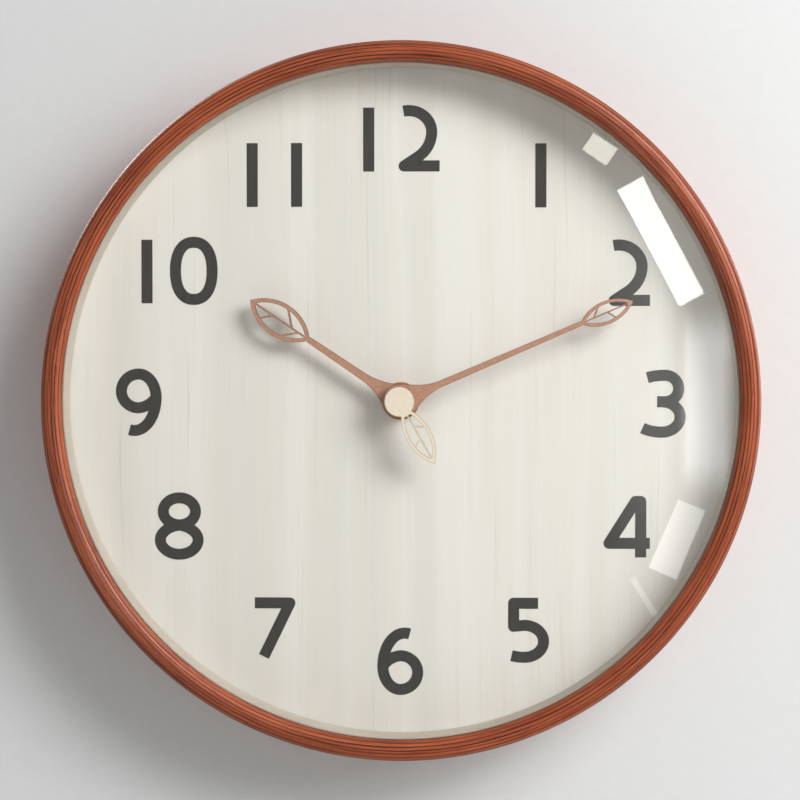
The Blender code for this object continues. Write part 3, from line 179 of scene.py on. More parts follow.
def ring_wood():
    """Laminated walnut: the grain runs round the ring, with dark glue lines between the plies."""
    recipe = Recipe("ring_wood", 0.36, specular=0.28)
    flat = recipe.scaled(1, 0, 1)
    radius = recipe.vector("LENGTH", flat, output=1)
    turn = recipe.vector("NORMALIZE", flat)
    depth = recipe.parts()[1]

    def grain(around, across, detail, rough):
        """Noise drawn out along the ring: around is in cycles a radian, across in cycles a millimetre."""
        long_way = recipe.vector("MULTIPLY", turn, (around, around, around))
        short_way = recipe.add("ShaderNodeCombineXYZ", {1: recipe.math("MULTIPLY", radius, across / MM)})
        place = recipe.vector("ADD", long_way, short_way.outputs[0])
        return recipe.noise(place, 1.0, detail, rough, recipe.math("MULTIPLY", depth, across / MM))

    fibres = grain(7, 2.4, 4, 0.62)
    bands = grain(2.2, 0.34, 2, 0.5)
    pores = recipe.spread(grain(26, 3.4, 2, 0.5), 0.60, 0.70)
    ply = recipe.add("ShaderNodeAttribute", attribute_name="ply").outputs["Fac"]
    to_joint = recipe.math("PINGPONG", ply, 0.5)
    sheet = recipe.add("ShaderNodeTexWhiteNoise", {"W": recipe.math("FLOOR", ply)}, noise_dimensions="1D")
    joint = recipe.add("ShaderNodeTexWhiteNoise", {"W": recipe.math("ROUND", ply)}, noise_dimensions="1D")
    width = recipe.math("MULTIPLY_ADD", joint.outputs["Value"], 0.16, 0.12)
    worn = recipe.spread(grain(4, 0.5, 2, 0.5), 0.30, 0.62, 0.55, 1.0)
    line = recipe.math("MULTIPLY", recipe.spread(to_joint, 0.03, width, 1.0, 0.0), worn)
    colour = recipe.mix(recipe.spread(bands, 0.30, 0.70), rgb(110, 43, 22), rgb(154, 70, 39))
    shade = recipe.math("MULTIPLY", sheet.outputs["Value"], 0.5)
    colour = recipe.mix(shade, colour, rgb(104, 40, 19))
    colour = recipe.mix(recipe.spread(fibres, 0.36, 0.64, 0.0, 0.6), colour, rgb(184, 102, 66))
    colour = recipe.mix(recipe.math("MULTIPLY", pores, 0.6), colour, rgb(66, 26, 13))
    colour = recipe.mix(recipe.math("MULTIPLY", line, 0.95), colour, rgb(50, 19, 9))
    rough = recipe.spread(fibres, 0.30, 0.70, 0.46, 0.33)
    normal = recipe.bump(fibres, 0.05 * MM)
    normal = recipe.bump(recipe.math("SUBTRACT", 1.0, pores), 0.03 * MM, normal)
    return recipe.done(colour, rough, normal)


def dial_veneer():
    """Whitewashed veneer, its grain upright, in faint strips of warmer and greyer tint."""
    recipe = Recipe("dial_veneer", 0.62, specular=0.3)
    drift = recipe.noise(recipe.scaled(9, 0, 5), 1.0, 2)
    x, _, z = recipe.parts()
    swayed = recipe.math("ADD", x, recipe.math("MULTIPLY", drift, 9 * MM))

    def streaks(across, along, detail, rough=0.55, start=0.0):
        """Upright noise: across and along are in cycles a metre."""
        slide = recipe.math("MULTIPLY", swayed, across)
        lean = recipe.math("MULTIPLY_ADD", z, along, recipe.math("MULTIPLY", slide, 0.37))
        place = recipe.add("ShaderNodeCombineXYZ", {0: slide, 1: start, 2: lean})
        return recipe.noise(place.outputs[0], 1.0, detail, rough)

    strips = recipe.spread(streaks(46, 1.4, 1, start=3.1), 0.36, 0.64)
    tint = recipe.spread(streaks(120, 3.0, 2, start=7.7), 0.42, 0.60)
    fibre = streaks(1500, 26, 3, 0.6)
    fine = streaks(760, 9, 3, 0.55, 1.7)
    dark = recipe.spread(fine, 0.60, 0.74)
    light = recipe.spread(fine, 0.40, 0.28)
    colour = recipe.mix(strips, rgb(225, 222, 215), rgb(233, 230, 224))
    colour = recipe.mix(recipe.math("MULTIPLY", tint, 0.4), colour, rgb(231, 222, 215))
    colour = recipe.mix(recipe.math("MULTIPLY", dark, 0.34), colour, rgb(204, 194, 182))
    colour = recipe.mix(recipe.math("MULTIPLY", light, 0.25), colour, rgb(240, 238, 233))
    colour = recipe.mix(recipe.spread(fibre, 0.35, 0.68, 0.0, 0.12), colour, rgb(210, 204, 194))
    return recipe.done(colour, recipe.spread(fibre, 0.3, 0.7, 0.56, 0.7), recipe.bump(fibre, 0.03 * MM))


def hand_wood(name, pale, dark, burnt, burnt_share):
    """Thin laser-cut veneer: a mottled face with short pores, and cut edges that the beam has darkened."""
    recipe = Recipe(name, 0.5)
    mottle = recipe.noise(recipe.place, 900, 4, 0.7)
    fibre = recipe.noise(recipe.scaled(2600, 900, 700), 1.0, 3, 0.6)
    pores = recipe.spread(recipe.noise(recipe.scaled(3400, 900, 1100), 1.0, 2), 0.62, 0.70)
    normal = recipe.add("ShaderNodeTexCoord").outputs["Normal"]
    facing = recipe.math("ABSOLUTE", recipe.parts(normal)[1])
    rounded = recipe.add("ShaderNodeBevel", {"Radius": BURN_WIDTH}, samples=8)
    true = recipe.add("ShaderNodeNewGeometry").outputs["Normal"]
    near_edge = recipe.vector("DOT_PRODUCT", rounded.outputs[0], true, output=1)
    flat = recipe.math("MINIMUM", facing, near_edge)
    cut_edge = recipe.spread(flat, 0.88, 0.998, burnt_share, 0.0)
    colour = recipe.mix(recipe.spread(mottle, 0.32, 0.68), dark, pale)
    colour = recipe.mix(recipe.spread(fibre, 0.36, 0.66, 0.0, 0.4), colour, dark)
    colour = recipe.mix(recipe.math("MULTIPLY", pores, 0.45), colour, burnt)
    colour = recipe.mix(cut_edge, colour, burnt)
    return recipe.done(colour, recipe.spread(fibre, 0.3, 0.7, 0.44, 0.6), recipe.bump(fibre, 0.03 * MM))


def glass():
    """Clear glass as a film: it passes the light straight on, and reflects more at a slant."""
    recipe = Recipe("glass")
    recipe.tree.nodes.remove(recipe.shader)
    smear = recipe.noise(recipe.place, 14, 2)
    rough = recipe.spread(smear, 0.35, 0.75, 0.004, 0.02)
    gloss = recipe.add("ShaderNodeBsdfAnisotropic", {"Color": (1, 1, 1, 1), "Roughness": rough})
    slant = recipe.add("ShaderNodeLayerWeight", {"Blend": 0.5}).outputs["Facing"]
    share = recipe.math("MULTIPLY_ADD", recipe.math("POWER", slant, 5.0), 0.96, 0.04)
    return recipe.see_through(share, gloss, (0.985, 0.99, 0.985, 1))


def matt(name, colour, other, size, depth, roughness=0.7, specular=0.4):
    """Paper, foam, rubber or moulded plastic: an even grain of this size, with a slow change of tone."""
    recipe = Recipe(name, roughness, specular=specular)
    grain = recipe.noise(recipe.place, 1 / size, 3, 0.6)
    tone = recipe.noise(recipe.place, 45, 3)
    blend = recipe.math("ADD", recipe.math("MULTIPLY", grain, 0.5), recipe.math("MULTIPLY", tone, 0.5))
    shine = recipe.spread(tone, 0.3, 0.7, roughness - 0.06, min(1.0, roughness + 0.08))
    tint = recipe.mix(recipe.spread(blend, 0.36, 0.64), colour, other)
    return recipe.done(tint, shine, recipe.bump(grain, depth))


def metal(name, colour, stained, roughness, stretch=(900, 900, 900), scratch=0.02):
    """Plated or plain metal: fine marks drawn out by stretch, and faint staining."""
    recipe = Recipe(name, roughness, metallic=1.0)
    marks = recipe.noise(recipe.scaled(*stretch), 1.0, 4, 0.65)
    cloud = recipe.noise(recipe.place, 160, 3, 0.6)
    shine = recipe.spread(marks, 0.3, 0.7, roughness - 0.07, roughness + 0.12)
    tint = recipe.mix(recipe.spread(cloud, 0.40, 0.72), colour, stained)
    return recipe.done(tint, shine, recipe.bump(marks, scratch * MM))


def fibreboard():
    recipe = Recipe("fibreboard", 0.8, specular=0.2)
    fibres = recipe.noise(recipe.scaled(1400, 1400, 420), 1.0, 4, 0.7)
    crossed = recipe.noise(recipe.scaled(420, 1400, 1400), 1.0, 4, 0.7)
    specks = recipe.spread(recipe.noise(recipe.place, 900, 2), 0.64, 0.72)
    tone = recipe.noise(recipe.place, 26, 4)
    colour = recipe.mix(recipe.spread(tone, 0.3, 0.7), rgb(142, 107, 74), rgb(166, 130, 94))
    colour = recipe.mix(recipe.spread(fibres, 0.42, 0.62, 0.0, 0.5), colour, rgb(186, 151, 112))
    colour = recipe.mix(recipe.spread(crossed, 0.46, 0.66, 0.0, 0.5), colour, rgb(112, 80, 52))
    colour = recipe.mix(recipe.math("MULTIPLY", specks, 0.6), colour, rgb(82, 56, 36))
    return recipe.done(colour, None, recipe.bump(fibres, 0.08 * MM, recipe.bump(crossed, 0.05 * MM)))


def battery_sleeve():
    """A two-tone shrink sleeve on a nickelled can: the tone changes along the cell, and the ends are bare."""
    recipe = Recipe("battery_sleeve", 0.3)
    low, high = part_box("battery")
    x, y, z = recipe.parts()
    along = recipe.spread(x, low.x, high.x, -0.5, 0.5)
    off_y = recipe.math("SUBTRACT", y, (low.y + high.y) / 2)
    off_z = recipe.math("SUBTRACT", z, (low.z + high.z) / 2)
    away = recipe.add("ShaderNodeCombineXYZ", {1: off_y, 2: off_z})
    radius = recipe.vector("LENGTH", away.outputs[0], output=1)
    bare = recipe.math("LESS_THAN", radius, (high.z - low.z) / 2 - 0.75 * MM)
    collar = recipe.math("GREATER_THAN", along, 0.20)
    stripe = recipe.math("COMPARE", along, 0.19, 0.012)
    wrinkle = recipe.noise(recipe.scaled(60, 700, 700), 1.0, 3)
    colour = recipe.mix(collar, rgb(38, 74, 68), rgb(176, 122, 62))
    colour = recipe.mix(stripe, colour, rgb(214, 208, 192))
    colour = recipe.mix(bare, colour, rgb(188, 188, 184))
    rough = recipe.spread(wrinkle, 0.3, 0.7, 0.22, 0.38)
    return recipe.done(colour, rough, recipe.bump(wrinkle, 0.04 * MM), bare)


def circuit_board():
    recipe = Recipe("circuit_board", 0.35)
    cells = recipe.add("ShaderNodeTexVoronoi", {"Vector": recipe.place, "Scale": 420.0, "Randomness": 0.6},
                       distance="MANHATTAN", feature="F1")
    weave = recipe.noise(recipe.place, 2400, 2)
    track = recipe.spread(cells.outputs["Distance"], 0.42, 0.52)
    colour = recipe.mix(track, rgb(22, 86, 48), rgb(42, 122, 70))
    colour = recipe.mix(recipe.spread(weave, 0.4, 0.7, 0.0, 0.25), colour, rgb(12, 60, 34))
    return recipe.done(colour, None, recipe.bump(track, 0.03 * MM))


def copper_wire():
    """Enamelled wire wound side by side: rounded ridges along the coil's length, which lies along X."""
    recipe = Recipe("copper_wire", 0.3, metallic=1.0)
    wire = 0.16 * MM
    phase = recipe.math("MULTIPLY", recipe.parts()[0], math.pi / wire)
    ridge = recipe.math("ABSOLUTE", recipe.math("SINE", phase))
    tone = recipe.noise(recipe.scaled(1500, 90, 90), 1.0, 2)
    colour = recipe.mix(recipe.spread(tone, 0.3, 0.7), rgb(170, 84, 44), rgb(214, 128, 78))
    return recipe.done(colour, recipe.spread(tone, 0.3, 0.7, 0.24, 0.42), recipe.bump(ridge, 0.06 * MM))


def numeral_ink():
    recipe = Recipe("numeral_ink", 0.6, specular=0.3)
    grain = recipe.noise(recipe.scaled(1500, 1500, 60), 1.0, 3, 0.6)
    colour = recipe.mix(recipe.spread(grain, 0.35, 0.7), rgb(46, 42, 37), rgb(60, 55, 49))
    return recipe.done(colour, recipe.spread(grain, 0.3, 0.7, 0.5, 0.7), recipe.bump(grain, 0.015 * MM))


PAINTS = {
    "ring_wood": ring_wood(),
    "glass": glass(),
    "dial_veneer": dial_veneer(),
    "numeral_ink": numeral_ink(),
    "fibreboard": fibreboard(),
    "battery_sleeve": battery_sleeve(),
    "circuit_board": circuit_board(),
    "copper_wire": copper_wire(),
    "walnut_hand": hand_wood("walnut_hand", rgb(202, 150, 122), rgb(164, 114, 88), rgb(62, 38, 28), 0.9),
    "birch_hand": hand_wood("birch_hand", rgb(238, 226, 208), rgb(231, 215, 193), rgb(150, 102, 66), 0.75),
    "seal_foam": matt("seal_foam", rgb(30, 30, 31), rgb(44, 44, 45), 0.35 * MM, 0.12 * MM, 0.9, 0.2),
    "cream_card": matt("cream_card", rgb(188, 178, 166), rgb(200, 190, 178), 0.5 * MM, 0.02 * MM, 0.72, 0.3),
    "black_plastic": matt("black_plastic", rgb(42, 42, 44), rgb(56, 56, 58), 0.16 * MM, 0.03 * MM, 0.48),
    "white_nylon": matt("white_nylon", rgb(226, 225, 216), rgb(238, 237, 230), 0.5 * MM, 0.01 * MM, 0.38),
    "rubber": matt("rubber", rgb(32, 32, 32), rgb(46, 45, 44), 0.25 * MM, 0.05 * MM, 0.8, 0.25),
    "epoxy": matt("epoxy", rgb(18, 18, 19), rgb(30, 30, 32), 0.9 * MM, 0.05 * MM, 0.26, 0.5),
    "zinc_steel": metal("zinc_steel", rgb(208, 210, 208), rgb(190, 190, 182), 0.42),
    "spring_steel": metal("spring_steel", rgb(208, 206, 200), rgb(186, 180, 168), 0.26, (300, 2400, 2400)),
    "soft_iron": metal("soft_iron", rgb(150, 150, 152), rgb(128, 124, 120), 0.46, (260, 2200, 2200)),
    "brass": metal("brass", rgb(222, 186, 112), rgb(186, 142, 78), 0.28, (260, 5200, 260)),
    "crystal_can": metal("crystal_can", rgb(222, 222, 224), rgb(200, 200, 200), 0.16, (2600, 2600, 200), 0.01),
    "magnet": metal("magnet", rgb(92, 92, 96), rgb(70, 70, 74), 0.5, (1800, 1800, 1800), 0.04),
}


# ------------------------------------------------------------------ shape helpers
def shade(data, sharp=SHARP_ANGLE):
    """Smooth shading, but for edges that turn more than sharp degrees."""
    data.shade_smooth()
    data.set_sharp_from_angle(angle=math.radians(sharp))


def solid(name, mesh, sharp=SHARP_ANGLE):
    """An object made from a bmesh: doubles joined, faces turned out."""
    bmesh.ops.remove_doubles(mesh, verts=mesh.verts, dist=1e-7)
    bmesh.ops.recalc_face_normals(mesh, faces=mesh.faces)
    data = bpy.data.meshes.new(name)
    mesh.to_mesh(data)
    mesh.free()
    shade(data, sharp)
    return link(name, data)


def lathe(name, profile, steps=ROUND_STEPS, move=None, sharp=SHARP_ANGLE):
    """Turns a closed profile of (radius, y) round the Y axis, then moves it by a matrix.

    profile may be a function of the angle, and a third value in a point is its place among the plies.
    """
    mesh = bmesh.new()
    turns = [2 * math.pi * step / steps for step in range(steps)]
    sections = [profile(turn) if callable(profile) else profile for turn in turns]
    ply = mesh.verts.layers.float.new("ply") if len(sections[0][0]) == 3 else None
    rings = []
    for turn, section in zip(turns, sections):
        across, up = math.cos(turn), math.sin(turn)
        rings.append([mesh.verts.new((p[0] * across, p[1], p[0] * up)) for p in section])
        if ply is not None:
            for vert, point in zip(rings[-1], section):
                vert[ply] = point[2]
    count = len(rings[0])
    for step in range(steps):
        here, after = rings[step], rings[(step + 1) % steps]
        for n in range(count):
            up_one = (n + 1) % count
            mesh.faces.new((here[n], after[n], after[up_one], here[up_one]))
    if move is not None:
        mesh.transform(move)
    return solid(name, mesh, sharp)


def slab(name, points, triangles, front, back, move=None):
    """A flat closed solid of these triangles of (x, z) points, from y = front to y = back."""
    mesh = bmesh.new()
    near = [mesh.verts.new((x, front, z)) for x, z in points]
    far = [mesh.verts.new((x, back, z)) for x, z in points]
    border = {}
    for a, b, c in triangles:
        mesh.faces.new((near[a], near[b], near[c]))
        mesh.faces.new((far[c], far[b], far[a]))
        for start, end in ((a, b), (b, c), (c, a)):
            key = (min(start, end), max(start, end))
            border[key] = key not in border
    for (start, end), single in border.items():
        if single:
            mesh.faces.new((near[end], near[start], far[start], far[end]))
    loose = [vert for vert in mesh.verts if not vert.link_faces]
    bmesh.ops.delete(mesh, geom=loose, context="VERTS")
    if move is not None:
        mesh.transform(move)
    return solid(name, mesh)


def plate(name, loops, front, back, move=None):
    """A slab with this outline, the first loop, and these holes, the rest."""
    points = [point for loop in loops for point in loop]
    triangles = tessellate_polygon([[Vector((x, z, 0)) for x, z in loop] for loop in loops])
    return slab(name, points, triangles, front, back, move)


def soften(piece, width, segments=2):
    """Rounds a piece's edges with modifiers, which leave its own mesh as it is."""
    weld = piece.modifiers.new("weld", "WELD")
    weld.merge_threshold = 1e-6
    bevel = piece.modifiers.new("bevel", "BEVEL")
    bevel.width = width
    bevel.segments = segments
    bevel.limit_method = "ANGLE"
    bevel.angle_limit = math.radians(BEVEL_ANGLE)
    bevel.use_clamp_overlap = True
    piece.modifiers.new("even_shading", "WEIGHTED_NORMAL")
    return piece


def carve(piece, *cutters):
    """Takes the cutters out of a piece, and removes them."""
    for cutter in cutters:
        modifier = piece.modifiers.new("carve", "BOOLEAN")
        modifier.object = cutter
        modifier.operation = "DIFFERENCE"
    graph = bpy.context.evaluated_depsgraph_get()
    data = bpy.data.meshes.new_from_object(piece.evaluated_get(graph))
    piece.modifiers.clear()
    piece.data = data
    shade(data)
    for cutter in cutters:
        bpy.data.objects.remove(cutter)
    return piece


def settle(piece, paint, body, *stands_for):
    """Gives a new piece its material and its body, and hides the CAD nodes that it replaces."""
    piece.data.materials.clear()
    piece.data.materials.append(PAINTS[paint])
    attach(piece, body)
    if stands_for:
        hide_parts(*stands_for)
    return piece


def carry(paint, *names, bevel=0.08 * MM):
    """Paints CAD nodes that keep their shape, and rounds their edges."""
    for name in names:
        node = NODES[name]
        node.data.materials.clear()
        node.data.materials.append(PAINTS[paint])
        normals = node.data.attributes.get("custom_normal")
        if normals:
            node.data.attributes.remove(normals)
        node.data.shade_smooth()
        soften(node, bevel)


def arc(radius, start, end, steps, centre=(0.0, 0.0)):
    turns = [math.radians(start + (end - start) * n / steps) for n in range(steps + 1)]
    return [(centre[0] + radius * math.cos(t), centre[1] + radius * math.sin(t)) for t in turns]


def bow_radius(half, rise):
    """The radius of an arc from half its chord and its rise."""
    return (half**2 + rise**2) / (2 * rise)


def circle(radius, steps=ROUND_STEPS, centre=(0.0, 0.0)):
    return arc(radius, 0, 360, steps, centre)[:-1]


# ------------------------------------------------------------------ ring
def joint_radius(number, angle):
    """Where a glue line runs: the plies were never quite even, so each wanders a little round the ring."""
    sway = math.sin(2 * angle + 1.9 * number) + 0.6 * math.sin(5 * angle + 4.1 * number)
    return FIRST_PLY + PLY * number + 0.09 * MM * sway


def crown_height(radius):
    """The height of the ring's convex front at a radius."""
    share = min(1.0, abs(radius - RING_MIDDLE) / RING_HALF)
    return RING_DEPTH - CROWN * (1 - (1 - share**CROWN_POWER) ** (1 / CROWN_POWER))


def front_rows(angle):
    """(radius, height, ply) across the ring's front from its outer edge in, grooved at each glue line."""
    parts = 4
    joints = [joint_radius(number, angle) for number in range(PLY_JOINTS)]
    edges = [LIP_RADIUS, *joints, RING_RADIUS]
    rows = []
    for number in range(len(edges) - 1, 0, -1):
        high, low = edges[number], edges[number - 1]
        high_end = high if number == len(edges) - 1 else high - min(GROOVE_HALF, (high - low) / 4)
        low_end = low if number == 1 else low + min(GROOVE_HALF, (high - low) / 4)
        shares = [(edge - RING_MIDDLE) / RING_HALF for edge in (high_end, low_end)]
        first, last = [math.asin(max(-1.0, min(1.0, share))) for share in shares]
        for step in range(parts + 1):
            radius = RING_MIDDLE + RING_HALF * math.sin(first + (last - first) * step / parts)
            ply = number - 1 + (radius - low) / (high - low)
            rows.append((radius, crown_height(radius), ply))
        if number > 1:
            rows.append((low, crown_height(low) - GROOVE_DEPTH, float(number - 1)))
    return rows


def ring_profile(angle):
    chamfer = 0.8 * MM
    outer_ply = PLY_JOINTS + 0.5
    rows = [(radius, at(height), ply) for radius, height, ply in front_rows(angle)]
    rows += [
        (LIP_RADIUS, at(LIP_BACK), 0.3),
        (REBATE_RADIUS, at(LIP_BACK), 1.4),
        (REBATE_RADIUS, at(chamfer / 2), 1.4),
        (REBATE_RADIUS + chamfer / 2, WALL, 1.8),
        (RING_RADIUS - chamfer, WALL, PLY_JOINTS - 0.1),
        (RING_RADIUS, at(chamfer), outer_ply),
    ]
    return rows


def tube_profile(inner, outer, low, high, round_off=0.0):
    """The closed section of a tube between two heights above the wall, with its corners taken off."""
    r = round_off
    section = [(outer, low + r), (outer, high - r), (outer - r, high), (inner + r, high)]
    section += [(inner, high - r), (inner, low + r), (inner + r, low), (outer - r, low)]
    return [(radius, at(height)) for radius, height in section]


def dome(top_height, edge_radius, rise, steps=24):
    """(radius, height) of a shallow dome, from its centre out to its edge."""
    ball = bow_radius(edge_radius, rise)
    radii = [edge_radius * n / steps for n in range(steps + 1)]
    return [(radius, top_height - ball + math.sqrt(ball**2 - radius**2)) for radius in radii]


def heights(node):
    """(lowest, highest) height of a CAD node above the wall."""
    low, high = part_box(node)
    return WALL - high.y, WALL - low.y


GLASS_LOW, GLASS_TOP = heights("lens_glass")
GLASS_RISE = GLASS_TOP - GLASS_LOW - GLASS_THICKNESS
GLASS_BALL = bow_radius(LIP_RADIUS, GLASS_RISE)


def case():
    settle(lathe("bentwood_ring", ring_profile, RING_STEPS), "ring_wood", "clock_case", "frame_ring")

    front = dome(GLASS_TOP, LIP_RADIUS, GLASS_RISE)
    back = dome(GLASS_TOP - GLASS_THICKNESS, LIP_RADIUS, GLASS_RISE)
    rim_top, nip = front[-1][1], 0.3 * MM
    rim = [(INSIDE_RADIUS - nip, rim_top), (INSIDE_RADIUS, rim_top - nip), (INSIDE_RADIUS, GLASS_LOW + nip)]
    rim.append((INSIDE_RADIUS - nip, GLASS_LOW))
    section = [(radius, at(height)) for radius, height in front + rim + back[::-1]]
    settle(lathe("glass_dome", section, RING_STEPS, sharp=4), "glass", "clock_case", "lens_glass")

    for name, node, inner, nip, steps, paint in (
        ("foam_seal", "lens_seal", INSIDE_RADIUS - 1.4 * MM, 0.1 * MM, DISC_STEPS, "seal_foam"),
        ("inner_wall", "spacer_ring", LIP_RADIUS, 0.25 * MM, RING_STEPS, "cream_card"),
        ("dial_sheet", "dial_face", CENTRE_HOLE, 0.08 * MM, DISC_STEPS, "dial_veneer"),
        ("dial_backing", "dial_board", CENTRE_HOLE, 0.25 * MM, DISC_STEPS, "fibreboard"),
    ):
        made = lathe(name, tube_profile(inner, INSIDE_RADIUS, *heights(node), nip), steps)
        settle(made, paint, "clock_case", node)


# ------------------------------------------------------------------ numerals, in millimetres
STROKE = 4.7
PRINT = 0.08 * MM


def bend(x, y, across, up, start, end):
    """Points of an elliptical arc round (x, y), in degrees anticlockwise from the right."""
    steps = max(4, int(abs(end - start) / 6))
    turns = [math.radians(start + (end - start) * n / steps) for n in range(steps + 1)]
    return [(x + across * math.cos(t), y + up * math.sin(t)) for t in turns]


def rounded_loop(x, y, across, up, power_x=2.0, power_y=2.0, steps=64):
    """A closed curve |x/across|^power_x + |y/up|^power_y = 1 round (x, y)."""
    points = []
    for n in range(steps):
        cos, sin = math.cos(2 * math.pi * n / steps), math.sin(2 * math.pi * n / steps)
        along = math.copysign(abs(cos) ** (2 / power_x), cos)
        points.append((x + across * along, y + up * math.copysign(abs(sin) ** (2 / power_y), sin)))
    return points


def pointed_loop(x, y, across, up, power):
    """A closed curve that is an ellipse below, and comes to a soft point above."""
    whole = rounded_loop(x, y, across, up)
    peak = rounded_loop(x, y, across, up, power_x=power)
    return [high if high[1] > y else low for high, low in zip(peak, whole)]


def bent(*points):
    """A glyph of one bent stroke, each straight run apart and its corners rounded off."""
    return [list(run) for run in zip(points, points[1:])], list(points[1:-1]), False


# Each glyph: its smooth strokes, the corners that are rounded off, and whether the strokes close on
# themselves.
SIX = bend(1.94, -2.15, 9.32, 14.17, 76.8, 180) + bend(0.04, -2.15, 7.42, 9.91, 180, 270)[1:]
SIX += bend(0.04, -4.7, 7.42, 7.36, -90, 0)[1:] + bend(0.04, -4.7, 7.42, 7.06, 0, 90)[1:]
SIX += bend(0.87, -7.3, 9.66, 9.66, 95, 150)[1:]
TWO = bend(-4.36, 2.6, 9.7, 9.02, 103.7, 0) + bend(-8.21, 2.6, 13.55, 12.81, 0, -55.5)[1:]
THREE_TOP = bend(0.81, 6.38, 12.94, 5.6, 125.2, 90) + bend(0.81, 6.38, 5.74, 5.6, 90, -90)[1:]
THREE_LOW = bend(-0.47, -5.64, 7.66, 6.43, 90, -90) + bend(-0.47, -5.64, 12.0, 6.43, -90, -133.2)[1:]
FIVE = bend(-1.77, -4.7, 8.11, 6.81, 90, -90) + bend(-1.77, -4.7, 12.59, 6.81, -90, -115.8)[1:]
GLYPHS = {
    "0": ([rounded_loop(0, 0, 7.81, 12.13, 2.3, 2.3)], [], True),
    "1": bent((0, -13.5), (0, 13.5)),
    "2": ([TWO + [(-6.32, -11.74)], [(-6.32, -11.74), (8.7, -11.74)]], [(-6.32, -11.74)], False),
    "3": ([THREE_TOP + [(-2.51, 0.79)], [(-2.51, 0.79), *THREE_LOW]], [], False),
    "4": bent((5.87, -13.0), (5.87, 10.7), (3.66, 10.7), (-7.49, -7.04), (9.74, -7.04)),
    "5": (
        [[(3.98, 11.49), (-6.36, 11.49)], [(-6.36, 11.49), (-6.36, 1.64)], [(-6.36, 1.64), *FIVE]],
        [(-6.36, 11.49), (-6.36, 1.64)], False,
    ),
    "6": ([SIX], [], False),
    "7": bent((-8.68, 10.77), (6.3, 10.74), (-4.83, -12.15)),
    "8": ([rounded_loop(0.09, 6.28, 6.89, 5.77), pointed_loop(0, -5.83, 8.08, 6.21, 1.6)], [], True),
    "9": ([[(-x, -y) for x, y in SIX]], [], False),
}
# Where each hour's figures stand, from the middle of the dial: (figure, x, z).
HOURS = {
    1: (("1", 59.29, 95.31),), 2: (("2", 96.61, 54.29),), 3: (("3", 110.97, -1.04),),
    4: (("4", 95.82, -53.17),), 5: (("5", 54.40, -97.33),), 6: (("6", -0.15, -110.78),),
    7: (("7", -53.44, -96.87),), 8: (("8", -94.42, -53.44),), 9: (("9", -111.54, -0.68),),
    10: (("1", -107.91, 54.97), ("0", -87.93, 55.23)),
    11: (("1", -62.95, 95.78), ("1", -44.08, 95.78)),
    12: (("1", -13.47, 110.63), ("2", 7.85, 111.18)),
}


def ribbon(path, closed):
    """Quads half a stroke to either side of a path."""
    count = len(path)
    sides = []
    for n in range(count):
        before = path[(n - 1) % count] if closed or n > 0 else path[n]
        after = path[(n + 1) % count] if closed or n < count - 1 else path[n]
        run = Vector((after[0] - before[0], after[1] - before[1])).normalized() * (STROKE / 2)
        x, y = path[n]
        sides.append(((x - run.y, y + run.x), (x + run.y, y - run.x)))
    pairs = zip(sides, sides[1:] + sides[:1] if closed else sides[1:])
    return [[left, right, next_right, next_left] for (left, right), (next_left, next_right) in pairs]


def numerals():
    for hour, figures in HOURS.items():
        points, faces = [], []
        for figure, x, z in figures:
            strokes, corners, closed = GLYPHS[figure]
            shapes = [quad for path in strokes for quad in ribbon(path, closed)]
            shapes += [circle(STROKE / 2, 28, corner) for corner in corners]
            for shape in shapes:
                faces.append(list(range(len(points), len(points) + len(shape))))
                points += [Vector((x + px, z + py)) for px, py in shape]
        out = delaunay_2d_cdt(points, [], faces, 0, 1e-5, True)
        triangles = [face for face, sources in zip(out[2], out[5]) if sources]
        flat = [(point.x * MM, point.y * MM) for point in out[0]]
        name = f"numeral_{hour}"
        printed = slab(name, flat, triangles, DIAL_FRONT - PRINT, DIAL_FRONT + PRINT / 2)
        settle(printed, "numeral_ink", "clock_case")


# ------------------------------------------------------------------ hands
LEAF_STEPS = 28
ARM_STEPS = 60
HUB_RADIUS = 7.35 * MM
DISC_RADIUS = 6.25 * MM
HAND_ROUND = 0.2 * MM
HUB_MARGIN = 1.02  # a hand's side stops at this share of its hub's radius, where the hub's own arc takes over

# Veins are pairs (where one leaves the midrib, where it meets the rim), in shares of the leaf; -1 is the side
# towards earlier hours.
HOUR_LEAF = {
    "length": 30.2 * MM, "half_width": 7.25 * MM, "rim": 1.7 * MM, "vein": 0.75 * MM,
    "open_from": 0.0, "join": 0.3 * MM, "veins": {-1: ((0.19, 0.444), (0.624, 0.79)), 1: ((0.30, 0.54),)},
}
HOUR_HAND = {
    "tip": 76.1 * MM, "arm_half": 1.25 * MM, "hub_half": 1.9 * MM, "flare_from": 19 * MM, "flare": 6.5 * MM,
}
MINUTE_LEAF = {
    "length": 24.2 * MM, "half_width": 4.85 * MM, "rim": 1.4 * MM, "vein": 0.6 * MM,
    "open_from": 0.0, "join": 0.4 * MM, "veins": {-1: ((0.263, 0.45),), 1: ((0.517, 0.646),)},
}
MINUTE_HAND = {
    "tip": 106.2 * MM, "arm_half": 1.0 * MM, "hub_half": 1.55 * MM, "flare_from": 19 * MM, "flare": 8 * MM,
}
SECOND_LEAF = {
    "length": 27.4 * MM, "half_width": 5.3 * MM, "rim": 1.4 * MM, "vein": 0.6 * MM,
    "open_from": 4.3 * MM, "join": 0.0, "veins": {-1: ((0.342, 0.472),), 1: ((0.56, 0.649),)},
}
SECOND_TIP = 29.9 * MM


def leaf_side(length, half_width, inset):
    """Points (along, across) of one bowed side of a leaf, base to tip; its two sides are equal arcs."""
    bow = bow_radius(length / 2, half_width)
    offset = bow - half_width
    reach = math.degrees(math.acos(offset / (bow - inset)))
    return arc(bow - inset, 90 + reach, 90 - reach, LEAF_STEPS, (length / 2, -offset))


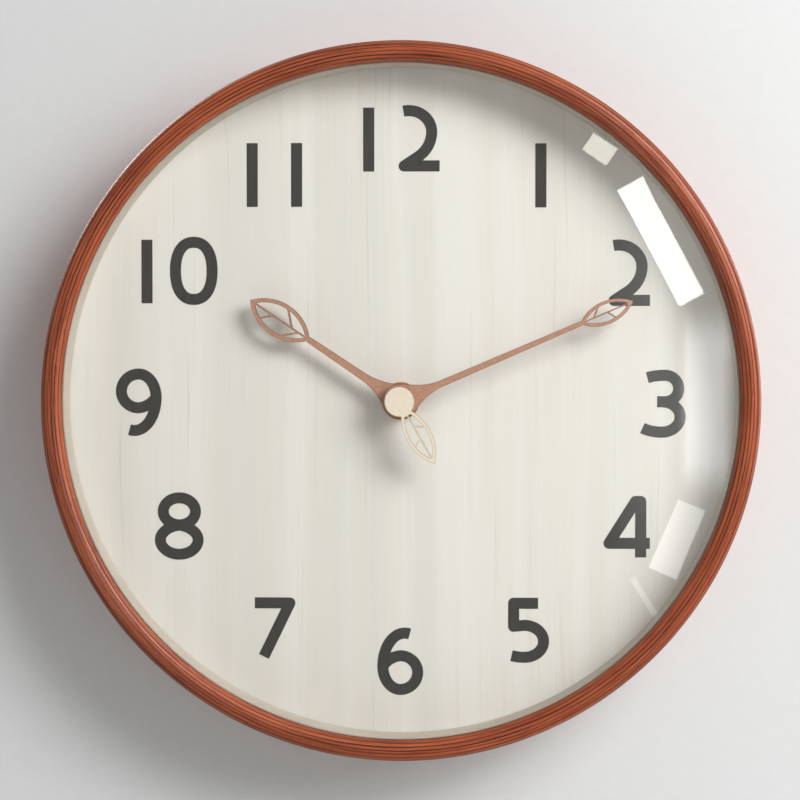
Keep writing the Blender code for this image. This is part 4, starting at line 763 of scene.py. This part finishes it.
def leaf_height(leaf, along):
    """Half the leaf's width at a point along it."""
    length, half_width = leaf["length"], leaf["half_width"]
    bow = bow_radius(length / 2, half_width)
    return math.sqrt(bow**2 - (along - length / 2) ** 2) - (bow - half_width)


def keep_side(points, through, normal):
    """The part of a convex outline on the side of a line that its normal points to."""
    kept = []
    for here, after in zip(points, points[1:] + points[:1]):
        side, next_side = [
            (x - through[0]) * normal[0] + (y - through[1]) * normal[1] for x, y in (here, after)
        ]
        if side >= 0:
            kept.append(here)
        if side * next_side < 0:
            share = side / (side - next_side)
            kept.append(tuple(a + (b - a) * share for a, b in zip(here, after)))
    return kept


def leaf_panes(leaf, tip):
    """The openings between a leaf's rim, midrib and side veins, on a hand that points up."""
    base = tip - leaf["length"]
    margin = leaf["vein"] / 2
    panes = []
    for side in (-1, 1):
        half = leaf_side(leaf["length"], leaf["half_width"], leaf["rim"])
        half = keep_side(half, (0, margin), (0, 1))
        rest = keep_side(half, (leaf["open_from"], 0), (1, 0))
        shapes = []
        for start, end in leaf["veins"][side]:
            root = start * leaf["length"]
            along, across = end * leaf["length"] - root, leaf_height(leaf, end * leaf["length"])
            size = math.hypot(along, across)
            normal = (across / size, -along / size)
            before = (root - normal[0] * margin, -normal[1] * margin)
            after = (root + normal[0] * margin, normal[1] * margin)
            shapes.append(keep_side(rest, before, (-normal[0], -normal[1])))
            rest = keep_side(rest, after, normal)
        for shape in [*shapes, rest]:
            panes.append([(side * across, base + along) for along, across in shape])
    return panes


def round_the_back(right, radius, lead, steps):
    """Closes an outline: its right side, the far side of the hub, and the right side mirrored."""
    last = math.degrees(math.atan2(right[-1][1], right[-1][0]))
    far = arc(radius, last - lead, -180 - last + lead, steps)
    return right + far + [(-x, y) for x, y in reversed(right) if x > 0.01 * MM]


def hand_outline(hand, leaf):
    """A hand that points up: its leaf, tapered arm and flare into the hub."""
    base = hand["tip"] - leaf["length"]
    start = base + leaf["join"]
    side = leaf_side(leaf["length"], leaf["half_width"], 0)
    right = [(across, base + along) for along, across in reversed(side) if base + along > start]
    nearest = hand["tip"]
    for n in range(ARM_STEPS + 1):
        y = start * (1 - n / ARM_STEPS)
        half = hand["hub_half"] + (hand["arm_half"] - hand["hub_half"]) * y / base
        if y < hand["flare_from"]:
            half += hand["flare"] * (1 - y / hand["flare_from"]) ** 2
        reach = math.hypot(half, y)
        if reach < HUB_RADIUS * HUB_MARGIN or reach > nearest:
            break
        nearest = reach
        right.append((half, y))
    return round_the_back(right, HUB_RADIUS, 3, 40)


def clockwise(angle):
    """Turns a hand that points up to an angle clockwise from 12 o'clock, as the dial is seen."""
    return Matrix.Rotation(math.radians(angle), 4, "Y")


def hands():
    for node, shape, leaf, angle, hole, body in (
        ("hour_hand", HOUR_HAND, HOUR_LEAF, HOUR_ANGLE, 3.72 * MM, "hours"),
        ("minute_hand", MINUTE_HAND, MINUTE_LEAF, MINUTE_ANGLE, 2.82 * MM, "minutes"),
    ):
        low, high = heights(node)
        loops = [hand_outline(shape, leaf), *leaf_panes(leaf, shape["tip"]), circle(hole)]
        made = plate(node + "_leaf", loops, at(high), at(low), clockwise(angle))
        settle(soften(made, HAND_ROUND), "walnut_hand", body, node)

    side = leaf_side(SECOND_LEAF["length"], SECOND_LEAF["half_width"], 0)
    base = SECOND_TIP - SECOND_LEAF["length"]
    right = [(across, base + along) for along, across in reversed(side)]
    right = [point for point in right if math.hypot(*point) > DISC_RADIUS * HUB_MARGIN]
    loops = [round_the_back(right, DISC_RADIUS, 4, 56), *leaf_panes(SECOND_LEAF, SECOND_TIP)]
    low, high = heights("second_hand")
    made = plate("second_hand_leaf", loops, at(high), at(low), clockwise(SECOND_ANGLE))
    bore, under, over = 2.0 * MM, at(low - MM), at(low + 1.2 * MM)
    seat = lathe("seat", [(0, under), (bore, under), (bore, over), (0, over)])
    settle(soften(carve(made, seat), HAND_ROUND), "birch_hand", "seconds", "second_hand")


# ------------------------------------------------------------------ turned metal parts
def bushing():
    """A threaded brass bushing: the thread climbs one pitch a turn."""
    low, high = heights("threaded_bushing")
    bore, outer, pitch, depth = 2.8 * MM, 4.0 * MM, 0.75 * MM, 0.32 * MM
    rows = int((high - low) / pitch * 8)

    def profile(angle):
        section = []
        for row in range(rows + 1):
            height = low + (high - low) * row / rows
            phase = (height / pitch - angle / (2 * math.pi)) % 1.0
            ramp_in = min(1.0, min(height - low, high - height) / (0.6 * MM))
            cut = abs(phase - 0.5) * 2 * ramp_in + (1 - ramp_in) * 0.8
            section.append((outer - depth * cut, at(height)))
        return section + [(bore, at(high)), (bore, at(low))]

    settle(lathe("bushing_thread", profile), "brass", "clock_case", "threaded_bushing")


def small_turnings():
    washer_radius, across_flats = 8.0 * MM, 12 * MM
    for name, node, paint, nip in (
        ("washer_plate", "front_washer", "brass", 0.1 * MM),
        ("washer_rubber", "rubber_washer", "rubber", 0.15 * MM),
    ):
        made = lathe(name, tube_profile(CENTRE_HOLE, washer_radius, *heights(node), nip), 72)
        settle(made, paint, "clock_case", node)
    low, high = heights("hex_nut")
    corners = arc(across_flats / math.sqrt(3), 30, 390, 6)[:-1]
    nut = plate("nut_hexagon", [corners, circle(CENTRE_HOLE)], at(high), at(low))
    settle(soften(nut, 0.25 * MM, 3), "brass", "clock_case", "hex_nut")


def along(direction):
    """A matrix that turns +Y to a direction."""
    return Vector((0, 1, 0)).rotation_difference(direction).to_matrix().to_4x4()


def screw(name, node, direction):
    """A pan-head wood screw with a cross recess and a real thread, driven along a direction."""
    points = [vert.co for vert in NODES[node].data.vertices]
    reach = [point.dot(direction) for point in points]
    low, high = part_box(node)
    middle = (low + high) / 2
    centre = middle - direction * middle.dot(direction)
    start, length = min(reach), max(reach) - min(reach)
    head, thick, shank, core, pitch = 2.6 * MM, 1.5 * MM, 1.3 * MM, 0.9 * MM, 1.1 * MM

    def profile(angle):
        section = [(0.0, 0.0)]
        for n in range(1, 7):
            turn = math.radians(15 * n)
            section.append((head * math.sin(turn) ** 0.7, thick * 0.75 * (1 - math.cos(turn))))
        section += [(head, thick - 0.1 * MM), (head - 0.1 * MM, thick), (shank, thick)]
        rows = 40
        for row in range(1, rows):
            y = thick + (length - thick) * row / rows
            phase = (y / pitch - angle / (2 * math.pi)) % 1.0
            taper = min(1.0, (length - y) / (2.4 * MM))
            ridge = max(0.0, 1 - abs(phase - 0.5) * 5)
            section.append(((core + (shank - core) * ridge) * taper, y))
        return section + [(0.0, length)]

    place = Matrix.Translation(centre + direction * start) @ along(direction)
    made = lathe(name, profile, 40)
    arm, slot, deep = 1.5 * MM, 0.32 * MM, 0.9 * MM
    cross = [(arm, slot), (slot, slot), (slot, arm), (-slot, arm), (-slot, slot), (-arm, slot),
             (-arm, -slot), (-slot, -slot), (-slot, -arm), (slot, -arm), (slot, -slot), (arm, -slot)]
    carve(made, plate("cross", [cross], -MM, deep))
    made.data.transform(place)
    return settle(made, "zinc_steel", "clock_case", node)


def clip_direction(degrees):
    return Vector((math.cos(math.radians(degrees)), 0, math.sin(math.radians(degrees))))


def spring_clip(number, degrees):
    """A spring strip with rounded bends: a leg on the ring's wall, and a foot that presses on the board."""
    steel, width, leg, foot = 0.8 * MM, 12 * MM, 11.5 * MM, 10 * MM
    node = f"retainer_clip_{number}"
    direction = clip_direction(degrees)
    out = max(vert.co.dot(direction) for vert in NODES[node].data.vertices)
    top = heights(node)[1]
    radius = 1.6 * MM

    def side(offset):
        """The strip's centreline moved sideways, from the leg's end to the toe, as (out, height)."""
        r = radius - offset
        bend_at = (out - steel / 2 - radius, top - steel / 2 - radius)
        toe = out - foot + MM
        line = [(out - steel / 2 - offset, top - leg)]
        line += arc(r, 0, 90, 10, bend_at)
        line += [(toe, top - steel / 2 - offset), (toe - MM, top - steel / 2 - offset - 0.9 * MM)]
        return line

    outline = side(-steel / 2 + 0.01 * MM) + side(steel / 2)[::-1]
    turn = Matrix.Rotation(-math.radians(degrees), 4, "Y")
    mesh_place = Matrix(((1, 0, 0, 0), (0, 0, -1, WALL), (0, 1, 0, 0), (0, 0, 0, 1)))
    made = plate(f"spring_clip_{number}", [outline], -width / 2, width / 2, turn @ mesh_place)
    settle(soften(made, 0.12 * MM), "spring_steel", "clock_case", node)


def rear_hardware():
    for number, degrees in enumerate(CLIP_ANGLES, 1):
        spring_clip(number, degrees)
        screw(f"pan_screw_{number}", f"clip_screw_{number}", clip_direction(degrees))
    for number in (1, 2):
        screw(f"bracket_screw_{number}", f"hanger_screw_{number}", Vector((0, 0, 1)))


def cell():
    """The battery: a drawn can, its sleeve rolled over the ends, a raised nub and a dished negative end."""
    low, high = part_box("battery")
    radius, length = (high.z - low.z) / 2, high.x - low.x
    nub, nub_length = 2.7 * MM, 1.2 * MM
    shoulder = length - nub_length
    roll = 0.9 * MM  # the radius of the sleeve's rolled ends
    rolled = [(radius - roll + roll * math.sin(math.radians(turn)), roll * (1 - math.cos(math.radians(turn))))
              for turn in (30, 60, 90)]
    section = [(0, 0.35 * MM), (3.6 * MM, 0.35 * MM), (4.2 * MM, 0.0), (radius - roll, 0.0), *rolled]
    section += [(radius - 0.06 * MM, 1.4 * MM), (radius, 1.6 * MM), (radius, shoulder - 1.6 * MM)]
    section += [(radius - 0.06 * MM, shoulder - 1.4 * MM)]
    section += [(out, shoulder - rise) for out, rise in rolled[::-1]]
    section += [(radius - 1.2 * MM, shoulder - 0.3 * MM), (4.6 * MM, shoulder - 0.3 * MM)]
    section += [(4.2 * MM, shoulder)]
    section += [(nub + 0.3 * MM, shoulder), (nub, shoulder + 0.3 * MM), (nub, length - 0.3 * MM)]
    section += [(nub - 0.3 * MM, length), (0, length)]
    centre = Vector((low.x, (low.y + high.y) / 2, (low.z + high.z) / 2))
    place = Matrix.Translation(centre) @ along(Vector((1, 0, 0)))
    settle(lathe("battery_cell", section, 64, place), "battery_sleeve", "battery", "battery")


def cover_details():
    """Ribs, a boss and plain signs moulded on the back of the movement."""
    low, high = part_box("movement_cover")
    knob_low, knob_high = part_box("setting_knob")
    rear = heights("movement_cover")[0]
    raised, sunk = rear - 0.35 * MM, rear + 0.2 * MM
    margin, rib = 3.2 * MM, 0.5 * MM
    outer = [low.x + margin, low.z + margin, high.x - margin, high.z - margin]

    def loop(inset):
        x0, z0 = outer[0] + inset, outer[1] + inset
        x1, z1 = outer[2] - inset, outer[3] - inset
        return [(x0, z0), (x1, z0), (x1, z1), (x0, z1)]

    def mould(name, loops, nip):
        made = plate(name, loops, at(sunk), at(raised))
        settle(soften(made, nip), "black_plastic", "clock_case")

    mould("cover_border", [loop(0), loop(rib)], 0.1 * MM)
    knob = ((knob_low.x + knob_high.x) / 2, (knob_low.z + knob_high.z) / 2)
    mould("knob_boss", [circle(7.2 * MM, 72, knob), circle(6.6 * MM, 72, knob)], 0.1 * MM)
    arrow = arc(8.8 * MM, 200, 300, 24, knob) + arc(8.2 * MM, 300, 200, 24, knob)
    mould("arrow_arc", [arrow], 0.06 * MM)
    head_at = math.radians(308)
    head = []
    for out, turn in ((9.7 * MM, head_at - 0.14), (8.5 * MM, head_at + 0.1), (7.3 * MM, head_at - 0.14)):
        head.append((knob[0] + out * math.cos(turn), knob[1] + out * math.sin(turn)))
    mould("arrow_head", [head], 0.06 * MM)
    for number, (x, z) in enumerate(((-16, 20), (-16, -2), (16, 22), (-4, 9)), 1):
        middle = (x * MM, z * MM)
        rings = [circle(1.6 * MM, 40, middle), circle(1.35 * MM, 40, middle)]
        mould(f"ejector_ring_{number}", rings, 0.05 * MM)


def carried_nodes():
    carry("zinc_steel", "hanger_bracket", bevel=0.15 * MM)
    carry("black_plastic", "movement_case", "movement_cover", bevel=0.2 * MM)
    carry("black_plastic", "setting_knob", bevel=0.1 * MM)
    carry("brass", "hour_hand_bush", "minute_hand_bush", "second_hand_bush", "minute_pipe", bevel=0.06 * MM)
    carry("white_nylon", "train_bridge", "second_wheel", "third_wheel", "centre_wheel", "motion_wheel",
          "hour_wheel", "intermediate_wheel", "rotor_pinion", "coil_bobbin", bevel=0.04 * MM)
    carry("zinc_steel", "second_arbor", bevel=0.04 * MM)
    carry("soft_iron", "stator", "coil_core", bevel=0.06 * MM)
    carry("magnet", "rotor_magnet", bevel=0.08 * MM)
    carry("copper_wire", "coil_winding", bevel=0.08 * MM)
    carry("circuit_board", "circuit_board", bevel=0.05 * MM)
    carry("epoxy", "clock_chip", bevel=0.05 * MM)
    carry("crystal_can", "quartz_crystal", bevel=0.12 * MM)
    carry("spring_steel", "contact_positive", "contact_negative", bevel=0.05 * MM)


# ------------------------------------------------------------------ stage, lights and camera
CAMERA = Vector((0.031, -0.900, 0.022))
AIM = Vector((0.0005, -0.0211, 0.0009))
LENS = 95.55
SENSOR = 36.0
FLOOR = -0.42
WALL_GAP = 0.5 * MM


def look(obj, target):
    """Points a camera's or lamp's -Z at a target."""
    obj.rotation_euler = (target - obj.location).to_track_quat("-Z", "Y").to_euler()


def flat_face(name, corners, material):
    """A piece of the stage with one flat face."""
    data = bpy.data.meshes.new(name)
    data.from_pydata(corners, [], [(0, 1, 2, 3)])
    data.materials.append(material)
    return link(name, data)


def stage():
    half_width = 2.5
    for name, near, far, colour in (
        ("wall", FLOOR, 2.2, rgb(208, 210, 210)),
        ("floor", -3.2, 1.6, rgb(180, 179, 177)),
    ):
        recipe = Recipe(name, 0.9, specular=0.1)
        grain = recipe.noise(recipe.place, 260, 3)
        speck = tuple(0.985 * c for c in colour[:3]) + (1,)
        tone = recipe.mix(recipe.spread(grain, 0.3, 0.7), colour, speck)
        recipe.done(tone, None, recipe.bump(grain, 0.05 * MM))
        corners = [(-half_width, near), (half_width, near), (half_width, far), (-half_width, far)]
        upright = name == "wall"
        if upright:
            points = [(x, WALL + WALL_GAP, z) for x, z in corners]
            # The wall is one-sided, so that the back of the clock can be seen through it.
            clear = recipe.add("ShaderNodeBsdfTransparent")
            side = recipe.add("ShaderNodeNewGeometry").outputs["Backfacing"]
            shares = {0: side, 1: recipe.shader.outputs[0], 2: clear.outputs[0]}
            both = recipe.add("ShaderNodeMixShader", shares)
            recipe.tree.links.new(both.outputs[0], recipe.tree.nodes["Material Output"].inputs["Surface"])
        else:
            points = [(x, y, FLOOR) for x, y in corners]
        made = flat_face(name, points, recipe.material)
        made.visible_shadow = not upright
        made.visible_glossy = upright


def lamp(name, place, target, size, radiance, colour=(1, 1, 1), glossy=True):
    """A soft panel, out of the camera's sight."""
    light = bpy.data.lights.new(name, "AREA")
    light.shape = "RECTANGLE"
    light.size, light.size_y = size
    light.energy = radiance * math.pi * size[0] * size[1]
    light.color = colour
    made = link(name, light)
    made.location = place
    look(made, target)
    made.visible_camera = False
    made.visible_glossy = glossy


def reflected(name, x, z, size, tilt, radiance, soft=0.03, distance=2.0, colour=(1, 1, 1, 1)):
    """A glowing panel, placed so that the camera sees it mirrored in the glass at (x, z).

    It is turned by tilt degrees, and soft is the share of its half-width over which its edges fade.
    """
    ball_centre = Vector((0, at(GLASS_TOP) + GLASS_BALL, 0))
    point = Vector((x, ball_centre.y - math.sqrt(GLASS_BALL**2 - x**2 - z**2), z))
    normal = (point - ball_centre).normalized()
    ray = (point - CAMERA).normalized()
    bounce = ray - 2 * ray.dot(normal) * normal
    grown = distance * (1 / (point - CAMERA).length + 2 / GLASS_BALL) + 1
    half_wide, half_high = size[0] * grown / 2, size[1] * grown / 2
    recipe = Recipe(name)
    recipe.tree.nodes.remove(recipe.shader)
    across, up, _ = recipe.parts()
    inside = [
        recipe.spread(recipe.math("ABSOLUTE", value), half * (1 - soft), half, 1.0, 0.0)
        for value, half in ((across, half_wide), (up, half_high))
    ]
    glow = recipe.add("ShaderNodeEmission", {"Color": colour, "Strength": radiance})
    recipe.see_through(recipe.math("MULTIPLY", *inside), glow)
    corners = [(-half_wide, -half_high, 0), (half_wide, -half_high, 0), (half_wide, half_high, 0)]
    made = flat_face(name, [*corners, (-half_wide, half_high, 0)], recipe.material)
    made.location = point + bounce * distance
    look(made, point)
    turned = made.rotation_euler.to_matrix() @ Matrix.Rotation(math.radians(tilt), 3, "Z")
    made.rotation_euler = turned.to_euler()
    for hidden in ("visible_camera", "visible_diffuse", "visible_shadow", "visible_volume_scatter"):
        setattr(made, hidden, False)


def lights():
    world = bpy.data.worlds.new("studio")
    bpy.context.scene.world = world
    world.use_nodes = True
    tree = world.node_tree
    background = tree.nodes["Background"]
    background.inputs["Color"].default_value = (0.93, 0.94, 0.96, 1)
    background.inputs["Strength"].default_value = 0.34
    seen = tree.nodes.new("ShaderNodeBackground")
    seen.inputs["Color"].default_value = (0.80, 0.80, 0.79, 1)
    path = tree.nodes.new("ShaderNodeLightPath")
    either = tree.nodes.new("ShaderNodeMixShader")
    for number, output in enumerate((path.outputs["Is Camera Ray"], background.outputs[0], seen.outputs[0])):
        tree.links.new(output, either.inputs[number])
    tree.links.new(either.outputs[0], tree.nodes["World Output"].inputs["Surface"])
    centre = Vector((0, 0, 0))
    lamp("key", Vector((0.66, -0.74, 0.60)).normalized() * 1.5, centre, (0.66, 0.66), 12.0, (1.0, 0.99, 0.98))
    lamp("side", Vector((0.79, -0.60, 0.34)).normalized() * 1.4, centre, (0.6, 0.6), 8.6, (1.0, 0.995, 0.985))
    lamp("rear_left", Vector((-1.3, 1.5, 1.1)), centre, (0.9, 0.9), 24, (1.0, 0.99, 0.97))
    lamp("rear_right", Vector((1.4, 1.4, 0.3)), centre, (0.9, 0.9), 14, (0.97, 0.98, 1.0))
    lamp("rear_middle", Vector((0.1, 2.2, 0.2)), centre, (1.6, 1.6), 3.0)
    reflected("room", 0.126, 0.020, (0.10, 0.24), 0, 1.1, soft=0.6, distance=3.2)
    reflected("bright_wall", 0.1270, 0.000, (0.024, 0.085), 0, 4.2, soft=0.5, distance=2.6)
    reflected("window", 0.1085, 0.0665, (0.0118, 0.055), 27, 10.0)
    reflected("pane", 0.1155, -0.057, (0.0125, 0.031), -22, 4.0)
    reflected("streak", 0.1015, -0.0805, (0.003, 0.021), 33, 1.8, soft=0.3)
    reflected("small_pane", 0.083, 0.1045, (0.012, 0.0078), -36, 6.5, colour=(1.0, 0.98, 0.86, 1))
    reflected("low_pane", -0.033, -0.125, (0.011, 0.012), 6, 0.5)


def camera():
    lens = bpy.data.cameras.new("camera")
    lens.lens = LENS
    lens.sensor_width = SENSOR
    made = link("camera", lens)
    made.location = CAMERA
    look(made, AIM)
    bpy.context.scene.camera = made


def main():
    bpy.context.scene.view_settings.view_transform = "Standard"
    camera()
    case()
    numerals()
    hands()
    bushing()
    small_turnings()
    rear_hardware()
    cell()
    cover_details()
    carried_nodes()
    stage()
    lights()


main()
